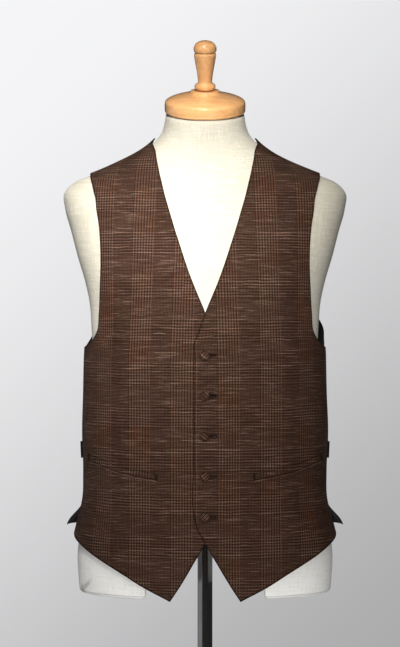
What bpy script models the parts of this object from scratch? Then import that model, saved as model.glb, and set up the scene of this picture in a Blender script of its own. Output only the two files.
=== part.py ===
"""A suit waistcoat, buttoned, on the limbless dress form that carries it.

The form stands on a pole and a round base and is closed by a turned wooden neck cap.
Metres, +Z up.  The front faces -Y and the wearer's left is +X.  The origin is on the
floor, under the middle of the base.

Every cloth piece lies on one garment surface: a stack of rounded sections around the
form.  A place on it is an angle from the centre front and a height.  Each panel is
spread between the curves of its own edges and then given its thickness outwards.
"""

import math
from collections import namedtuple

import bmesh
import bpy
import numpy as np
from mathutils import Matrix, Vector

for old in list(bpy.data.objects):
    bpy.data.objects.remove(old, do_unlink=True)

# ---------------------------------------------------------------- driving dimensions

# Sections of the form, from its lower end to the top of the neck, and how far the
# garment stands off them.
Ring = namedtuple("Ring", "height half_width front back squareness centre_y "
                          "lift ease_side ease_front ease_back")
RINGS = [
    # height half_w  front   back  square centre   lift    side   front   back
    Ring(0.800, 0.1900, 0.1000, 0.1080, 2.30, 0.0000, 0.0000, 0.0140, 0.0150, 0.0120),
    Ring(0.860, 0.1930, 0.1030, 0.1140, 2.30, 0.0000, 0.0000, 0.0100, 0.0120, 0.0100),
    Ring(0.900, 0.1870, 0.1040, 0.1160, 2.30, 0.0000, 0.0000, 0.0065, 0.0100, 0.0090),
    Ring(0.940, 0.1780, 0.1030, 0.1120, 2.30, 0.0000, 0.0000, 0.0060, 0.0095, 0.0090),
    Ring(0.980, 0.1720, 0.1010, 0.1060, 2.30, 0.0000, 0.0000, 0.0110, 0.0100, 0.0100),
    Ring(1.040, 0.1680, 0.0980, 0.0940, 2.30, 0.0000, 0.0000, 0.0168, 0.0120, 0.0120),
    Ring(1.100, 0.1680, 0.1010, 0.0880, 2.30, 0.0000, 0.0000, 0.0150, 0.0115, 0.0120),
    Ring(1.165, 0.1700, 0.1085, 0.0940, 2.40, 0.0000, 0.0000, 0.0115, 0.0085, 0.0090),
    Ring(1.200, 0.1720, 0.1130, 0.0990, 2.40, 0.0000, 0.0000, 0.0075, 0.0065, 0.0070),
    Ring(1.235, 0.1745, 0.1160, 0.1035, 2.40, 0.0000, 0.0000, 0.0050, 0.0050, 0.0050),
    Ring(1.270, 0.1820, 0.1170, 0.1070, 2.40, 0.0000, 0.0000, 0.0040, 0.0040, 0.0040),
    Ring(1.305, 0.1925, 0.1150, 0.1095, 2.45, 0.0010, 0.0000, 0.0035, 0.0035, 0.0030),
    Ring(1.345, 0.2030, 0.1100, 0.1100, 2.55, 0.0040, 0.0000, 0.0030, 0.0030, 0.0030),
    Ring(1.380, 0.2125, 0.1025, 0.1020, 2.60, 0.0070, 0.0015, 0.0025, 0.0025, 0.0025),
    Ring(1.405, 0.2125, 0.0955, 0.0930, 2.50, 0.0090, 0.0022, 0.0020, 0.0030, 0.0030),
    Ring(1.421, 0.1940, 0.0900, 0.0865, 2.40, 0.0100, 0.0022, 0.0000, 0.0030, 0.0030),
    Ring(1.432, 0.1650, 0.0850, 0.0810, 2.35, 0.0100, 0.0020, 0.0000, 0.0028, 0.0028),
    Ring(1.445, 0.1340, 0.0800, 0.0750, 2.30, 0.0085, 0.0020, 0.0000, 0.0020, 0.0020),
    Ring(1.460, 0.1040, 0.0740, 0.0695, 2.20, 0.0045, 0.0020, 0.0000, 0.0020, 0.0020),
    Ring(1.475, 0.0815, 0.0695, 0.0655, 2.10, -0.0010, 0.0020, 0.0010, 0.0020, 0.0020),
    Ring(1.487, 0.0690, 0.0665, 0.0640, 2.05, -0.0060, 0.0020, 0.0020, 0.0020, 0.0020),
    Ring(1.500, 0.0630, 0.0640, 0.0635, 2.00, -0.0100, 0.0020, 0.0020, 0.0020, 0.0020),
    Ring(1.522, 0.0592, 0.0600, 0.0630, 2.00, -0.0160, 0.0020, 0.0020, 0.0020, 0.0020),
    Ring(1.548, 0.0585, 0.0590, 0.0615, 2.00, -0.0210, 0.0020, 0.0020, 0.0020, 0.0020),
]

FRONT_WALL = 0.0020          # suiting, canvas and lining together
BACK_WALL = 0.0012           # satin and lining
SEAM_GAP = 0.0004            # between panels that are sewn edge to edge
SEAT_GAP = 0.0003            # under anything that lies on a panel
LAP_GAP = 0.0007             # between the two fronts where they overlap
LAP_END, LAP_RAMP = 0.024, 0.040    # where the overlap stops, and where the lift is gone

# Outline of one front as (x, z): x is measured from the centre front, towards its own
# side, so the lap is negative.
Spot = namedtuple("Spot", "x z")
FRONT_EDGE = [Spot(0.0513, 0.8008), Spot(0.0350, 0.8255), Spot(0.0165, 0.8570),
              Spot(0.0000, 0.8850), Spot(-0.0125, 0.9080), Spot(-0.0175, 0.9300),
              Spot(-0.0175, 1.0000), Spot(-0.0175, 1.0900), Spot(-0.0175, 1.1745)]
NECK_EDGE = [Spot(-0.0175, 1.1745), Spot(0.0000, 1.2220), Spot(0.0190, 1.2680),
             Spot(0.0387, 1.3260), Spot(0.0566, 1.3850), Spot(0.0660, 1.4220),
             Spot(0.0722, 1.4540)]
FRONT_HEM = [Spot(0.0513, 0.8008), Spot(0.0900, 0.8205), Spot(0.1250, 0.8410),
             Spot(0.1590, 0.8600), Spot(0.1830, 0.8750)]
ARMHOLE = [Spot(0.1700, 1.1790), Spot(0.1612, 1.1950), Spot(0.1575, 1.2200),
           Spot(0.1545, 1.2550), Spot(0.1530, 1.3000), Spot(0.1550, 1.3400),
           Spot(0.1595, 1.3700), Spot(0.1650, 1.4020), Spot(0.1685, 1.4150),
           Spot(0.1712, 1.4240), Spot(0.1722, 1.4285)]

SIDE_ANGLE = math.radians(92.0)      # the side seam, just behind the widest line
UNDERARM_Z = 1.165
FRONT_CORNER_Z = 0.892               # where the front hem meets the side vent
VENT_TOP_Z = 0.922
BACK_CORNER_Z = 0.8945               # where the back hem meets the side vent
BACK_HEM_Z = 0.8880                  # back hem at the centre seam
VENT_FLARE = 0.0150                  # how far the back corner stands off the front one
FLARE_REACH = math.radians(38.0)

SHOULDER_FORWARD = 0.007             # the shoulder seam lies this far before the ridge
NECK_POINT_Z, SHOULDER_TIP_Z = 1.4840, 1.4315
BACK_NECK_Z = 1.466
BACK_LEVEL_Z = 1.190                 # level of the underarm at the centre back

# Back neck line as (angle from the centre front in degrees, z), back armhole as (x, z).
Turn = namedtuple("Turn", "angle z")
BACK_NECK = [Turn(180.0, BACK_NECK_Z), Turn(150.0, 1.4675), Turn(118.0, 1.4740)]
BACK_ARMHOLE = [Spot(0.1785, 1.1780), Spot(0.1745, 1.1920), Spot(0.1690, 1.2120),
                Spot(0.1630, 1.2400), Spot(0.1600, 1.2750), Spot(0.1590, 1.3200),
                Spot(0.1610, 1.3600), Spot(0.1655, 1.3950), Spot(0.1695, 1.4150),
                Spot(0.1718, 1.4250)]

# Welt of each lower pocket: its lower edge as (x, z), and its own height.
WELT_EDGE = [Spot(0.0700, 0.9745), Spot(0.1240, 0.9845), Spot(0.1730, 0.9985)]
WELT_HEIGHT = 0.012
WELT_WALL = 0.0016
WELT_COLUMNS = 16

BUTTON_COUNT, BUTTON_TOP_Z, BUTTON_PITCH = 5, 1.160, 0.059
BUTTON_X = -0.001
BUTTON_RADIUS, BUTTON_RISE = 0.0075, 0.0048
BUTTON_BASE_RADIUS = 0.0058
BUTTON_SEAT = 0.0006                 # air under the button's rim
SHANK_RADIUS = 0.0011
HOLE_WIDTH, HOLE_BEFORE, HOLE_BEYOND = 0.0030, 0.0015, 0.0165

STRAP_Z, STRAP_WIDTH, STRAP_WALL = 1.012, 0.0255, 0.0010
STRAP_START = math.radians(94.5)     # sewn in beside the side seam
STRAP_ROOT_RISE = 0.0042             # the sewn-in end stands up a little
BUCKLE_WIRE = 0.0009                 # radius of the slide's wire
BUCKLE_SPACING, BUCKLE_HEIGHT = 0.0110, 0.0310
BUCKLE_RISE = 0.0031                 # the bars' middle above the back panel

FORM_FOOT_ROUND = 0.006              # rounding of the form's lower rim
ARCH_HALF_WIDTH, ARCH_HEIGHT = 0.088, 0.112
CAP_CENTRE = Vector((0.0, -0.0150, 1.5230))
CAP_TILT = math.radians(18.0)        # the cap leans towards the front
POLE_RADIUS, POLE_TOP_Z, POLE_CLEARANCE = 0.01125, 1.030, 0.0003
BASE_RADIUS, BASE_THICKNESS, BASE_SOCKET = 0.160, 0.010, 0.006

# Turned outlines as (radius, height along the axis), from the lower face to the top.
CAP_PROFILE = [(0.0585, 0.0), (0.0605, 0.0020), (0.0610, 0.0090), (0.0605, 0.0165),
               (0.0585, 0.0190), (0.0500, 0.0232), (0.0380, 0.0270), (0.0235, 0.0297),
               (0.0225, 0.0300), (0.0222, 0.0330), (0.0210, 0.0342)]
FINIAL_PROFILE = [(0.0120, 0.0345), (0.0152, 0.0365), (0.0158, 0.0400), (0.0150, 0.0432),
                  (0.0112, 0.0450), (0.0105, 0.0475), (0.0122, 0.0600), (0.0145, 0.0740),
                  (0.0166, 0.0865), (0.0163, 0.0890), (0.0146, 0.0902), (0.0150, 0.0915),
                  (0.0170, 0.0935), (0.0172, 0.0965), (0.0158, 0.1010), (0.0126, 0.1053),
                  (0.0078, 0.1082), (0.0030, 0.1092)]

PANEL_COLUMNS, EDGE_ROWS, TOP_ROWS = 14, 14, 13
BACK_COLUMNS, BACK_ROWS = 12, (9, 8, 7)
FORM_COLUMNS = 44


# ---------------------------------------------------------------- the two surfaces

def smooth(at, knots, values):
    """Cubic curve through the values; each knot's slope is its neighbours' parabola."""
    knots, values = np.asarray(knots, float), np.asarray(values, float)
    step = np.diff(knots)
    chord = np.diff(values) / step
    slope = np.empty_like(values)
    slope[1:-1] = (chord[:-1] * step[1:] + chord[1:] * step[:-1]) / (step[1:] + step[:-1])
    slope[0], slope[-1] = chord[0], chord[-1]
    low = np.clip(np.searchsorted(knots, at) - 1, 0, len(step) - 1)
    t = np.clip((at - knots[low]) / step[low], 0.0, 1.0)
    span = step[low]
    return ((2 * t ** 3 - 3 * t ** 2 + 1) * values[low]
            + (t ** 3 - 2 * t ** 2 + t) * span * slope[low]
            + (3 * t ** 2 - 2 * t ** 3) * values[low + 1]
            + (t ** 3 - t ** 2) * span * slope[low + 1])


def section(height, garment):
    """Half width, front depth, back depth, squareness and middle of one section."""
    on = 1.0 if garment else 0.0
    knots = [ring.height + on * ring.lift for ring in RINGS]
    columns = ([ring.half_width + on * ring.ease_side for ring in RINGS],
               [ring.front + on * ring.ease_front for ring in RINGS],
               [ring.back + on * ring.ease_back for ring in RINGS],
               [ring.squareness for ring in RINGS],
               [ring.centre_y for ring in RINGS])
    return [smooth(np.asarray(height, float), knots, column) for column in columns]


def surface(angle, height, garment=True):
    """Point of the form or of the garment's inner face.

    The section is a superellipse: 1 / radius^n = |sin / half width|^n + |cos / depth|^n,
    with one depth before the middle and another behind it.
    """
    angle, height = np.broadcast_arrays(np.asarray(angle, float), np.asarray(height, float))
    half, front, back, power, middle = section(height, garment)
    depth = np.where(np.cos(angle) > 0.0, front, back)
    radius = ((np.abs(np.sin(angle)) / half) ** power
              + (np.abs(np.cos(angle)) / depth) ** power) ** (-1.0 / power)
    return np.stack([radius * np.sin(angle), middle - radius * np.cos(angle), height], -1)


def outward(angle, height):
    """Unit normal of the garment surface, away from the form."""
    nudge = 0.0005
    across = surface(angle + nudge, height) - surface(angle - nudge, height)
    upward = (surface(angle, np.asarray(height) + nudge)
              - surface(angle, np.asarray(height) - nudge))
    normal = np.cross(across, upward)
    return normal / np.linalg.norm(normal, axis=-1, keepdims=True)


def front_angle(x, z):
    """Angle of a front point that lies x from the centre front at height z."""
    half, front, _, power, _ = section(z, True)
    share = np.clip(np.abs(x) / half, 0.0, 0.9995)
    return np.arctan2(x, front * (1.0 - share ** power) ** (1.0 / power))


def back_angle(x, z):
    """Angle of a back point that lies x from the centre back at height z."""
    half, _, back, power, _ = section(z, True)
    share = np.clip(np.abs(x) / half, 0.0, 0.9995)
    return math.pi - np.arctan2(x, back * (1.0 - share ** power) ** (1.0 / power))


def seam_angle(height):
    """Angle of the shoulder seam, a fixed distance before the ridge."""
    half = section(height, True)[0]
    return np.arctan2(half, SHOULDER_FORWARD)


def ramp(value):
    """Smooth step from 0 to 1."""
    value = np.clip(value, 0.0, 1.0)
    return value * value * (3.0 - 2.0 * value)


def lap_lift(x):
    """How far the over front is lifted off the garment surface at x."""
    return (FRONT_WALL + LAP_GAP) * (1.0 - ramp((x - LAP_END) / (LAP_RAMP - LAP_END)))


# ---------------------------------------------------------------- panels

def along(points, count):
    """Evenly spaced points on the smooth curve through the given ones."""
    points = np.asarray(points, float)
    scale = np.array([0.15, 1.0])           # an angle weighs about its arc in metres
    knots = np.r_[0.0, np.cumsum(np.linalg.norm(np.diff(points * scale, axis=0), axis=1))]
    fine = np.linspace(0.0, knots[-1], 40 * len(points))
    curve = np.stack([smooth(fine, knots, points[:, k]) for k in (0, 1)], -1)
    length = np.r_[0.0, np.cumsum(np.linalg.norm(np.diff(curve * scale, axis=0), axis=1))]
    want = np.linspace(0.0, length[-1], count)
    return np.stack([np.interp(want, length, curve[:, k]) for k in (0, 1)], -1)


def front_curve(spots):
    """(x, z) spots of a front as (angle, z) places."""
    return [(float(front_angle(spot.x, spot.z)), spot.z) for spot in spots]


def join(*curves):
    """Curves set end to end, without the doubled point."""
    return np.concatenate([curves[0]] + [curve[1:] for curve in curves[1:]])


def spread(left, right, lower, upper):
    """Patch between four edge curves: the two blends of opposite edges, less the corners."""
    u = np.linspace(0.0, 1.0, len(lower))[:, None, None]
    v = np.linspace(0.0, 1.0, len(left))[None, :, None]
    sides = (1 - u) * left[None] + u * right[None]
    ends = (1 - v) * lower[:, None] + v * upper[:, None]
    corners = ((1 - u) * (1 - v) * lower[0] + u * (1 - v) * lower[-1]
               + (1 - u) * v * upper[0] + u * v * upper[-1])
    return sides + ends - corners


def front_places():
    """(angle, z) grid of a front: columns from the front edge to the side."""
    lower_rows, top_rows = EDGE_ROWS + 1, TOP_ROWS + 1
    tip = (float(seam_angle(SHOULDER_TIP_Z)), SHOULDER_TIP_Z)
    neck_point = (float(seam_angle(NECK_POINT_Z)), NECK_POINT_Z)
    left = join(along(front_curve(FRONT_EDGE), lower_rows),
                along(front_curve(NECK_EDGE) + [neck_point], top_rows))
    side = SIDE_ANGLE - SEAM_GAP / 2 / section(UNDERARM_Z, True)[0]
    right = join(along([(side, FRONT_CORNER_Z), (side, UNDERARM_Z)], lower_rows),
                 along([(side, UNDERARM_Z)] + front_curve(ARMHOLE) + [tip], top_rows))
    lower = along(front_curve(FRONT_HEM) + [(side, FRONT_CORNER_Z)], PANEL_COLUMNS + 1)
    heights = np.linspace(NECK_POINT_Z, SHOULDER_TIP_Z, PANEL_COLUMNS + 1)
    upper = np.stack([seam_angle(heights), heights], -1)
    return spread(left, right, lower, upper)


def back_places():
    """(angle, z) grid of a back: columns from the centre seam and neck to the side."""
    low_rows, middle_rows, top_rows = (count + 1 for count in BACK_ROWS)
    centre = math.pi - SEAM_GAP / 2 / section(1.2, True)[2]
    side = SIDE_ANGLE + SEAM_GAP / 2 / section(UNDERARM_Z, True)[0]
    gap = SEAM_GAP / section(1.45, True)[0]
    tip = (float(seam_angle(SHOULDER_TIP_Z) + gap), SHOULDER_TIP_Z)
    neck_point = (float(seam_angle(NECK_POINT_Z) + gap), NECK_POINT_Z)
    neck = [(min(math.radians(turn.angle), centre), turn.z) for turn in BACK_NECK]
    armhole = along([(side, UNDERARM_Z)] + [(float(back_angle(spot.x, spot.z)), spot.z)
                                            for spot in BACK_ARMHOLE] + [tip],
                    middle_rows + top_rows - 1)
    left = join(along([(centre, BACK_HEM_Z), (centre, BACK_LEVEL_Z)], low_rows),
                along([(centre, BACK_LEVEL_Z), (centre, BACK_NECK_Z)], middle_rows),
                along(neck + [neck_point], top_rows))
    right = join(along([(side, BACK_CORNER_Z), (side, UNDERARM_Z)], low_rows), armhole)
    lower = along([(centre, BACK_HEM_Z), (side, BACK_CORNER_Z)], BACK_COLUMNS + 1)
    heights = np.linspace(NECK_POINT_Z, SHOULDER_TIP_Z, BACK_COLUMNS + 1)
    upper = np.stack([seam_angle(heights) + gap, heights], -1)
    return spread(left, right, lower, upper)


def vent_flare(angle, height):
    """How far the back stands out below the top of the vent, near the side."""
    down = ramp((VENT_TOP_Z + 0.012 - height) / (VENT_TOP_Z + 0.012 - BACK_CORNER_Z))
    near = ramp(1.0 - np.abs(angle - SIDE_ANGLE) / FLARE_REACH)
    return VENT_FLARE * down * near


# ---------------------------------------------------------------- making objects

def material(name, colour, roughness, metallic=0.0):
    """Plain Principled material."""
    made = bpy.data.materials.new(name)
    made.use_nodes = True
    shader = made.node_tree.nodes["Principled BSDF"]
    shader.inputs["Base Color"].default_value = (*colour, 1.0)
    shader.inputs["Roughness"].default_value = roughness
    shader.inputs["Metallic"].default_value = metallic
    return made


def add_object(name, mesh, finish):
    """Link a mesh as a named object with one material, shaded smooth but for its edges."""
    mesh.materials.append(finish)
    mesh.shade_smooth()
    mesh.set_sharp_from_angle(angle=math.radians(40))
    made = bpy.data.objects.new(name, mesh)
    bpy.context.scene.collection.objects.link(made)
    return made


def grid_mesh(name, points, flip):
    """Mesh of one face for each cell of a grid of points."""
    columns, rows = points.shape[:2]
    index = np.arange(columns * rows).reshape(columns, rows)
    corners = [index[:-1, :-1], index[1:, :-1], index[1:, 1:], index[:-1, 1:]]
    faces = np.stack(corners[::-1] if flip else corners, -1).reshape(-1, 4)
    mesh = bpy.data.meshes.new(name)
    mesh.from_pydata(points.reshape(-1, 3).tolist(), [], faces.tolist())
    return mesh


def cloth(name, points, side, wall, finish):
    """Cloth wall: the grid is its inner face, and the thickness goes outwards."""
    points = points * np.array([side, 1.0, 1.0])
    made = add_object(name, grid_mesh(name, points, flip=side < 0), finish)
    thicken = made.modifiers.new("wall", "SOLIDIFY")
    thicken.thickness = wall
    thicken.offset = 1.0
    thicken.use_even_offset = True
    return made


def closed_mesh(name, points, faces):
    """Mesh from points and faces, with the faces turned outwards."""
    mesh = bpy.data.meshes.new(name)
    mesh.from_pydata([tuple(point) for point in points], [], faces)
    work = bmesh.new()
    work.from_mesh(mesh)
    bmesh.ops.recalc_face_normals(work, faces=work.faces)
    work.to_mesh(mesh)
    work.free()
    return mesh


def loft(name, loops):
    """Closed mesh through loops of equal length, with a flat face on each end."""
    count = len(loops[0])
    points = [point for loop in loops for point in loop]
    faces = [[row * count + k, row * count + (k + 1) % count,
              (row + 1) * count + (k + 1) % count, (row + 1) * count + k]
             for row in range(len(loops) - 1) for k in range(count)]
    faces.append(list(range(count))[::-1])
    faces.append([(len(loops) - 1) * count + k for k in range(count)])
    return closed_mesh(name, points, faces)


def turned(name, profile, segments):
    """Closed mesh turned from (radius, height) pairs around Z."""
    loops = [[(radius * math.cos(2 * math.pi * k / segments),
               radius * math.sin(2 * math.pi * k / segments), height)
              for k in range(segments)] for radius, height in profile]
    return loft(name, loops)


def cut(made, cutter):
    """Boolean difference by a hidden cutter."""
    cutter.hide_render = True
    cutter.display_type = "WIRE"
    step = made.modifiers.new("cut", "BOOLEAN")
    step.operation = "DIFFERENCE"
    step.solver = "EXACT"
    step.object = cutter
    return made


def frame_at(x, z, lift, side=1):
    """Matrix at a front place: X across, Y up the cloth, Z outwards, lifted along Z."""
    angle = front_angle(x, z)
    point, normal = Vector(surface(angle, z)), Vector(outward(angle, z))
    across = Vector((0.0, 0.0, 1.0)).cross(normal).normalized()
    up = normal.cross(across)
    turn = Matrix((across, up, normal)).transposed().to_4x4()
    return Matrix.Translation(point + normal * lift) @ turn


# ---------------------------------------------------------------- fronts

def make_fronts(finish):
    """The two fronts: the wearer's left one laps over the right one."""
    places = front_places()
    inner = surface(places[..., 0], places[..., 1])
    normal = outward(places[..., 0], places[..., 1])
    cloth("front_right", inner, -1, FRONT_WALL, finish)
    lifted = inner + normal * lap_lift(inner[..., 0])[..., None]
    over = cloth("front_left", lifted, 1, FRONT_WALL, finish)
    cut(over, buttonhole_cutter())


def button_places():
    """Heights of the buttons, from the top one down."""
    return [BUTTON_TOP_Z - BUTTON_PITCH * k for k in range(BUTTON_COUNT)]


def buttonhole_cutter():
    """One slot for each button: a bar with round ends through the over front."""
    arc_steps, radius = 6, HOLE_WIDTH / 2
    outline = []
    for centre_x, start in ((HOLE_BEYOND, -90.0), (-HOLE_BEFORE, 90.0)):
        for k in range(arc_steps + 1):
            turn = math.radians(start + 180.0 * k / arc_steps)
            outline.append((centre_x + radius * math.cos(turn), radius * math.sin(turn)))
    points, faces = [], []
    for z in button_places():
        place = frame_at(BUTTON_X, z, FRONT_WALL)
        bar = prism(outline, -0.001, 0.006)
        base = len(points)
        points += [place @ Vector(point) for point in bar[0]]
        faces += [[base + k for k in face] for face in bar[1]]
    mesh = closed_mesh("buttonhole_cutter", points, faces)
    made = bpy.data.objects.new("buttonhole_cutter", mesh)
    bpy.context.scene.collection.objects.link(made)
    return made


def prism(outline, low, high):
    """Points and faces of a straight prism over an outline."""
    count = len(outline)
    points = [(x, y, low) for x, y in outline] + [(x, y, high) for x, y in outline]
    faces = [[k, (k + 1) % count, count + (k + 1) % count, count + k] for k in range(count)]
    faces += [list(range(count))[::-1], [count + k for k in range(count)]]
    return points, faces


def make_welts(finish):
    """A narrow welt at each lower pocket, laid on its front."""
    low = np.asarray(along(WELT_EDGE, WELT_COLUMNS))
    for name, side in (("pocket_welt_left", 1), ("pocket_welt_right", -1)):
        rows = [low + np.array([0.0, WELT_HEIGHT * share]) for share in (0.0, 0.5, 1.0)]
        x = np.stack([row[:, 0] for row in rows], 1)
        z = np.stack([row[:, 1] for row in rows], 1)
        angle = front_angle(x, z)
        lift = FRONT_WALL + SEAT_GAP
        inner = surface(angle, z) + outward(angle, z) * lift
        cloth(name, inner, side, WELT_WALL, finish)


def make_buttons(finish):
    """Covered dome buttons; each shank goes through its hole to the under front."""
    base = 2 * FRONT_WALL + LAP_GAP + BUTTON_SEAT
    dome = [(SHANK_RADIUS, FRONT_WALL + SEAT_GAP), (SHANK_RADIUS, base),
            (BUTTON_BASE_RADIUS, base + 0.0001), (BUTTON_RADIUS, base + 0.0013)]
    rim = base + 0.0013
    for k in range(1, 5):
        turn = math.radians(18.0 * k)
        dome.append((BUTTON_RADIUS * math.cos(turn),
                     rim + (BUTTON_RISE - 0.0013) * math.sin(turn)))
    dome.append((0.0008, rim + BUTTON_RISE - 0.0013))
    mesh = turned("button", dome, 16)
    for number, z in enumerate(button_places(), start=1):
        made = add_object("button_%d" % number, mesh.copy(), finish)
        made.matrix_world = frame_at(BUTTON_X, z, 0.0)


# ---------------------------------------------------------------- backs and strap

def make_backs(finish):
    """The two halves of the back, joined by a centre seam."""
    places = back_places()
    angle, height = places[..., 0], places[..., 1]
    inner = surface(angle, height) + outward(angle, height) * vent_flare(angle, height)[..., None]
    for name, side in (("back_left", 1), ("back_right", -1)):
        cloth(name, inner[::-1], side, BACK_WALL, finish)


def strap_band(name, path, side, finish):
    """Strap: a path of (arc from the centre back, rise over the back) and its width.

    The arc turns into an angle by the back's depth at the strap; the rise follows the
    back panel's outward direction.  The band's thickness is square to its path.
    """
    path = np.asarray(path, float)
    run = np.gradient(path, axis=0)
    run /= np.linalg.norm(run, axis=1, keepdims=True)
    across = np.stack([-run[:, 1], run[:, 0]], -1)
    loops = []
    for point, step in zip(path, across * STRAP_WALL / 2):
        corners = []
        for drop, face in ((-0.5, -1), (0.0, -1), (0.5, -1), (0.5, 1), (0.0, 1), (-0.5, 1)):
            arc, rise = point + face * step
            corners.append(strap_point(arc, rise, STRAP_Z + drop * STRAP_WIDTH, side))
        loops.append(corners)
    return add_object(name, loft(name, loops), finish)


def arc_table():
    """Angles behind the side seam and their arc length from the centre back."""
    angles = np.linspace(math.pi, math.radians(80.0), 400)
    walk = surface(angles, STRAP_Z)[:, :2]
    arc = np.r_[0.0, np.cumsum(np.linalg.norm(np.diff(walk, axis=0), axis=1))]
    return angles, arc


def strap_point(arc, rise, z, side):
    """World point on the back at an arc length from the centre and a rise above the panel."""
    angles, arcs = arc_table()
    angle = math.pi + (math.pi - np.interp(-arc, arcs, angles)) if arc < 0 \
        else np.interp(arc, arcs, angles)
    point = surface(angle, z) + outward(angle, z) * (BACK_WALL + rise)
    return (point[0] * side, point[1], point[2])


def make_strap(cloth_finish, metal):
    """Cinch strap across the back: a fixed half, an adjustable half and a slide."""
    angles, arcs = arc_table()
    root = float(np.interp(-STRAP_START, -angles, arcs))
    half = STRAP_WALL / 2
    low = SEAT_GAP + half
    bar = BUCKLE_WIRE
    fold = BUCKLE_SPACING
    edge_rise = BUCKLE_RISE + (surface(math.pi, STRAP_Z)[1]
                               - surface(np.interp(fold, arcs, angles), STRAP_Z)[1])
    bend = bar + SEAT_GAP + half + 0.0002
    over = edge_rise + bend
    under = BUCKLE_RISE - bar - SEAT_GAP - half

    def long_run(start, stop, rise):
        """Straight stretch of path with a point about every 7 mm."""
        count = max(2, int(abs(stop - start) / 0.007))
        return [(arc, rise) for arc in np.linspace(start, stop, count)]

    # Wearer's left half: folded around the slide's left bar and laid back on itself.
    wrap = [(fold + bend * math.sin(math.radians(turn)),
             edge_rise - bend * math.cos(math.radians(turn)))
            for turn in (0, -36, -72, -108, -144, -180)]
    fixed = ([(root, low + STRAP_ROOT_RISE), (root - 0.006, low + STRAP_ROOT_RISE * 0.7)]
             + long_run(root - 0.016, fold + 0.006, low) + wrap
             + [(fold + 0.004, over - 0.0007), (fold + 0.009, low + STRAP_WALL + SEAT_GAP),
                (fold + 0.020, low + STRAP_WALL + SEAT_GAP)])
    strap_band("back_strap_left", fixed, 1, cloth_finish)

    # Wearer's right half: over the right bar, under the middle one, over the left one.
    lap = over + STRAP_WALL + SEAT_GAP
    rest = low + 2 * (STRAP_WALL + SEAT_GAP)
    loose = ([(root, low + STRAP_ROOT_RISE), (root - 0.006, low + STRAP_ROOT_RISE * 0.7)]
             + long_run(root - 0.016, fold + 0.010, low)
             + [(fold + 0.005, 0.6 * over), (fold, over), (fold - 0.003, 0.85 * over),
                (0.003, under + 0.0003), (0.0, under), (-0.003, under + 0.0006),
                (-fold + 0.0045, 0.75 * lap), (-fold, lap), (-fold - 0.006, 0.93 * lap),
                (-fold - 0.012, rest + 0.0004), (-fold - 0.020, rest)]
             + long_run(-fold - 0.028, -fold - 0.060, rest - STRAP_WALL))
    strap_band("back_strap_right", loose, -1, cloth_finish)
    make_buckle(metal)


def make_buckle(metal):
    """Wire slide with three bars: a rounded frame and a middle bar, as one solid."""
    sides, half_height = 8, BUCKLE_HEIGHT / 2
    corner = 0.0015
    outline = []
    for centre_x, centre_z, start in ((1, 1, 0.0), (-1, 1, 90.0), (-1, -1, 180.0), (1, -1, 270.0)):
        for turn in (0.0, 30.0, 60.0, 90.0):
            a = math.radians(start + turn)
            outline.append((centre_x * (BUCKLE_SPACING - corner) + corner * math.cos(a),
                            centre_z * (half_height - corner) + corner * math.sin(a)))
    loops = []
    for k, (x, z) in enumerate(outline):
        before, after = outline[k - 1], outline[(k + 1) % len(outline)]
        run = Vector((after[0] - before[0], after[1] - before[1])).normalized()
        out = Vector((run.y, -run.x))
        loop = []
        for j in range(sides):
            a = 2 * math.pi * j / sides
            reach = BUCKLE_WIRE * math.cos(a)
            loop.append((x + out.x * reach, z + out.y * reach, BUCKLE_WIRE * math.sin(a)))
        loops.append(loop)
    count = len(loops)
    points = [point for loop in loops for point in loop]
    faces = [[row * sides + j, row * sides + (j + 1) % sides,
              (row + 1) % count * sides + (j + 1) % sides, (row + 1) % count * sides + j]
             for row in range(count) for j in range(sides)]
    place = buckle_frame()
    ring = add_object("strap_buckle", closed_mesh("strap_buckle",
                      [place @ Vector(point) for point in points], faces), metal)
    bar_loops = [[(BUCKLE_WIRE * math.cos(2 * math.pi * j / sides), z,
                   BUCKLE_WIRE * math.sin(2 * math.pi * j / sides)) for j in range(sides)]
                 for z in (-half_height, half_height)]
    bar_mesh = loft("buckle_bar", [[place @ Vector(point) for point in loop]
                                   for loop in bar_loops])
    bar = bpy.data.objects.new("buckle_bar", bar_mesh)
    bpy.context.scene.collection.objects.link(bar)
    bar.hide_render = True
    bar.display_type = "WIRE"
    weld = ring.modifiers.new("bar", "BOOLEAN")
    weld.operation = "UNION"
    weld.solver = "EXACT"
    weld.object = bar


def buckle_frame():
    """Matrix of the slide at the centre back: X along the strap, Y up, Z outwards."""
    point = Vector(surface(math.pi, STRAP_Z))
    normal = Vector(outward(math.pi, STRAP_Z))
    across = Vector((1.0, 0.0, 0.0))
    up = normal.cross(across).normalized()
    if up.z < 0:
        up = -up
    turn = Matrix((across, up, normal)).transposed().to_4x4()
    return Matrix.Translation(point + normal * (BACK_WALL + BUCKLE_RISE)) @ turn


# ---------------------------------------------------------------- form and stand

def cap_frame():
    """Matrix of the neck cap: its lower face is the XY plane and Z is its axis."""
    return Matrix.Translation(CAP_CENTRE) @ Matrix.Rotation(CAP_TILT, 4, "X")


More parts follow.
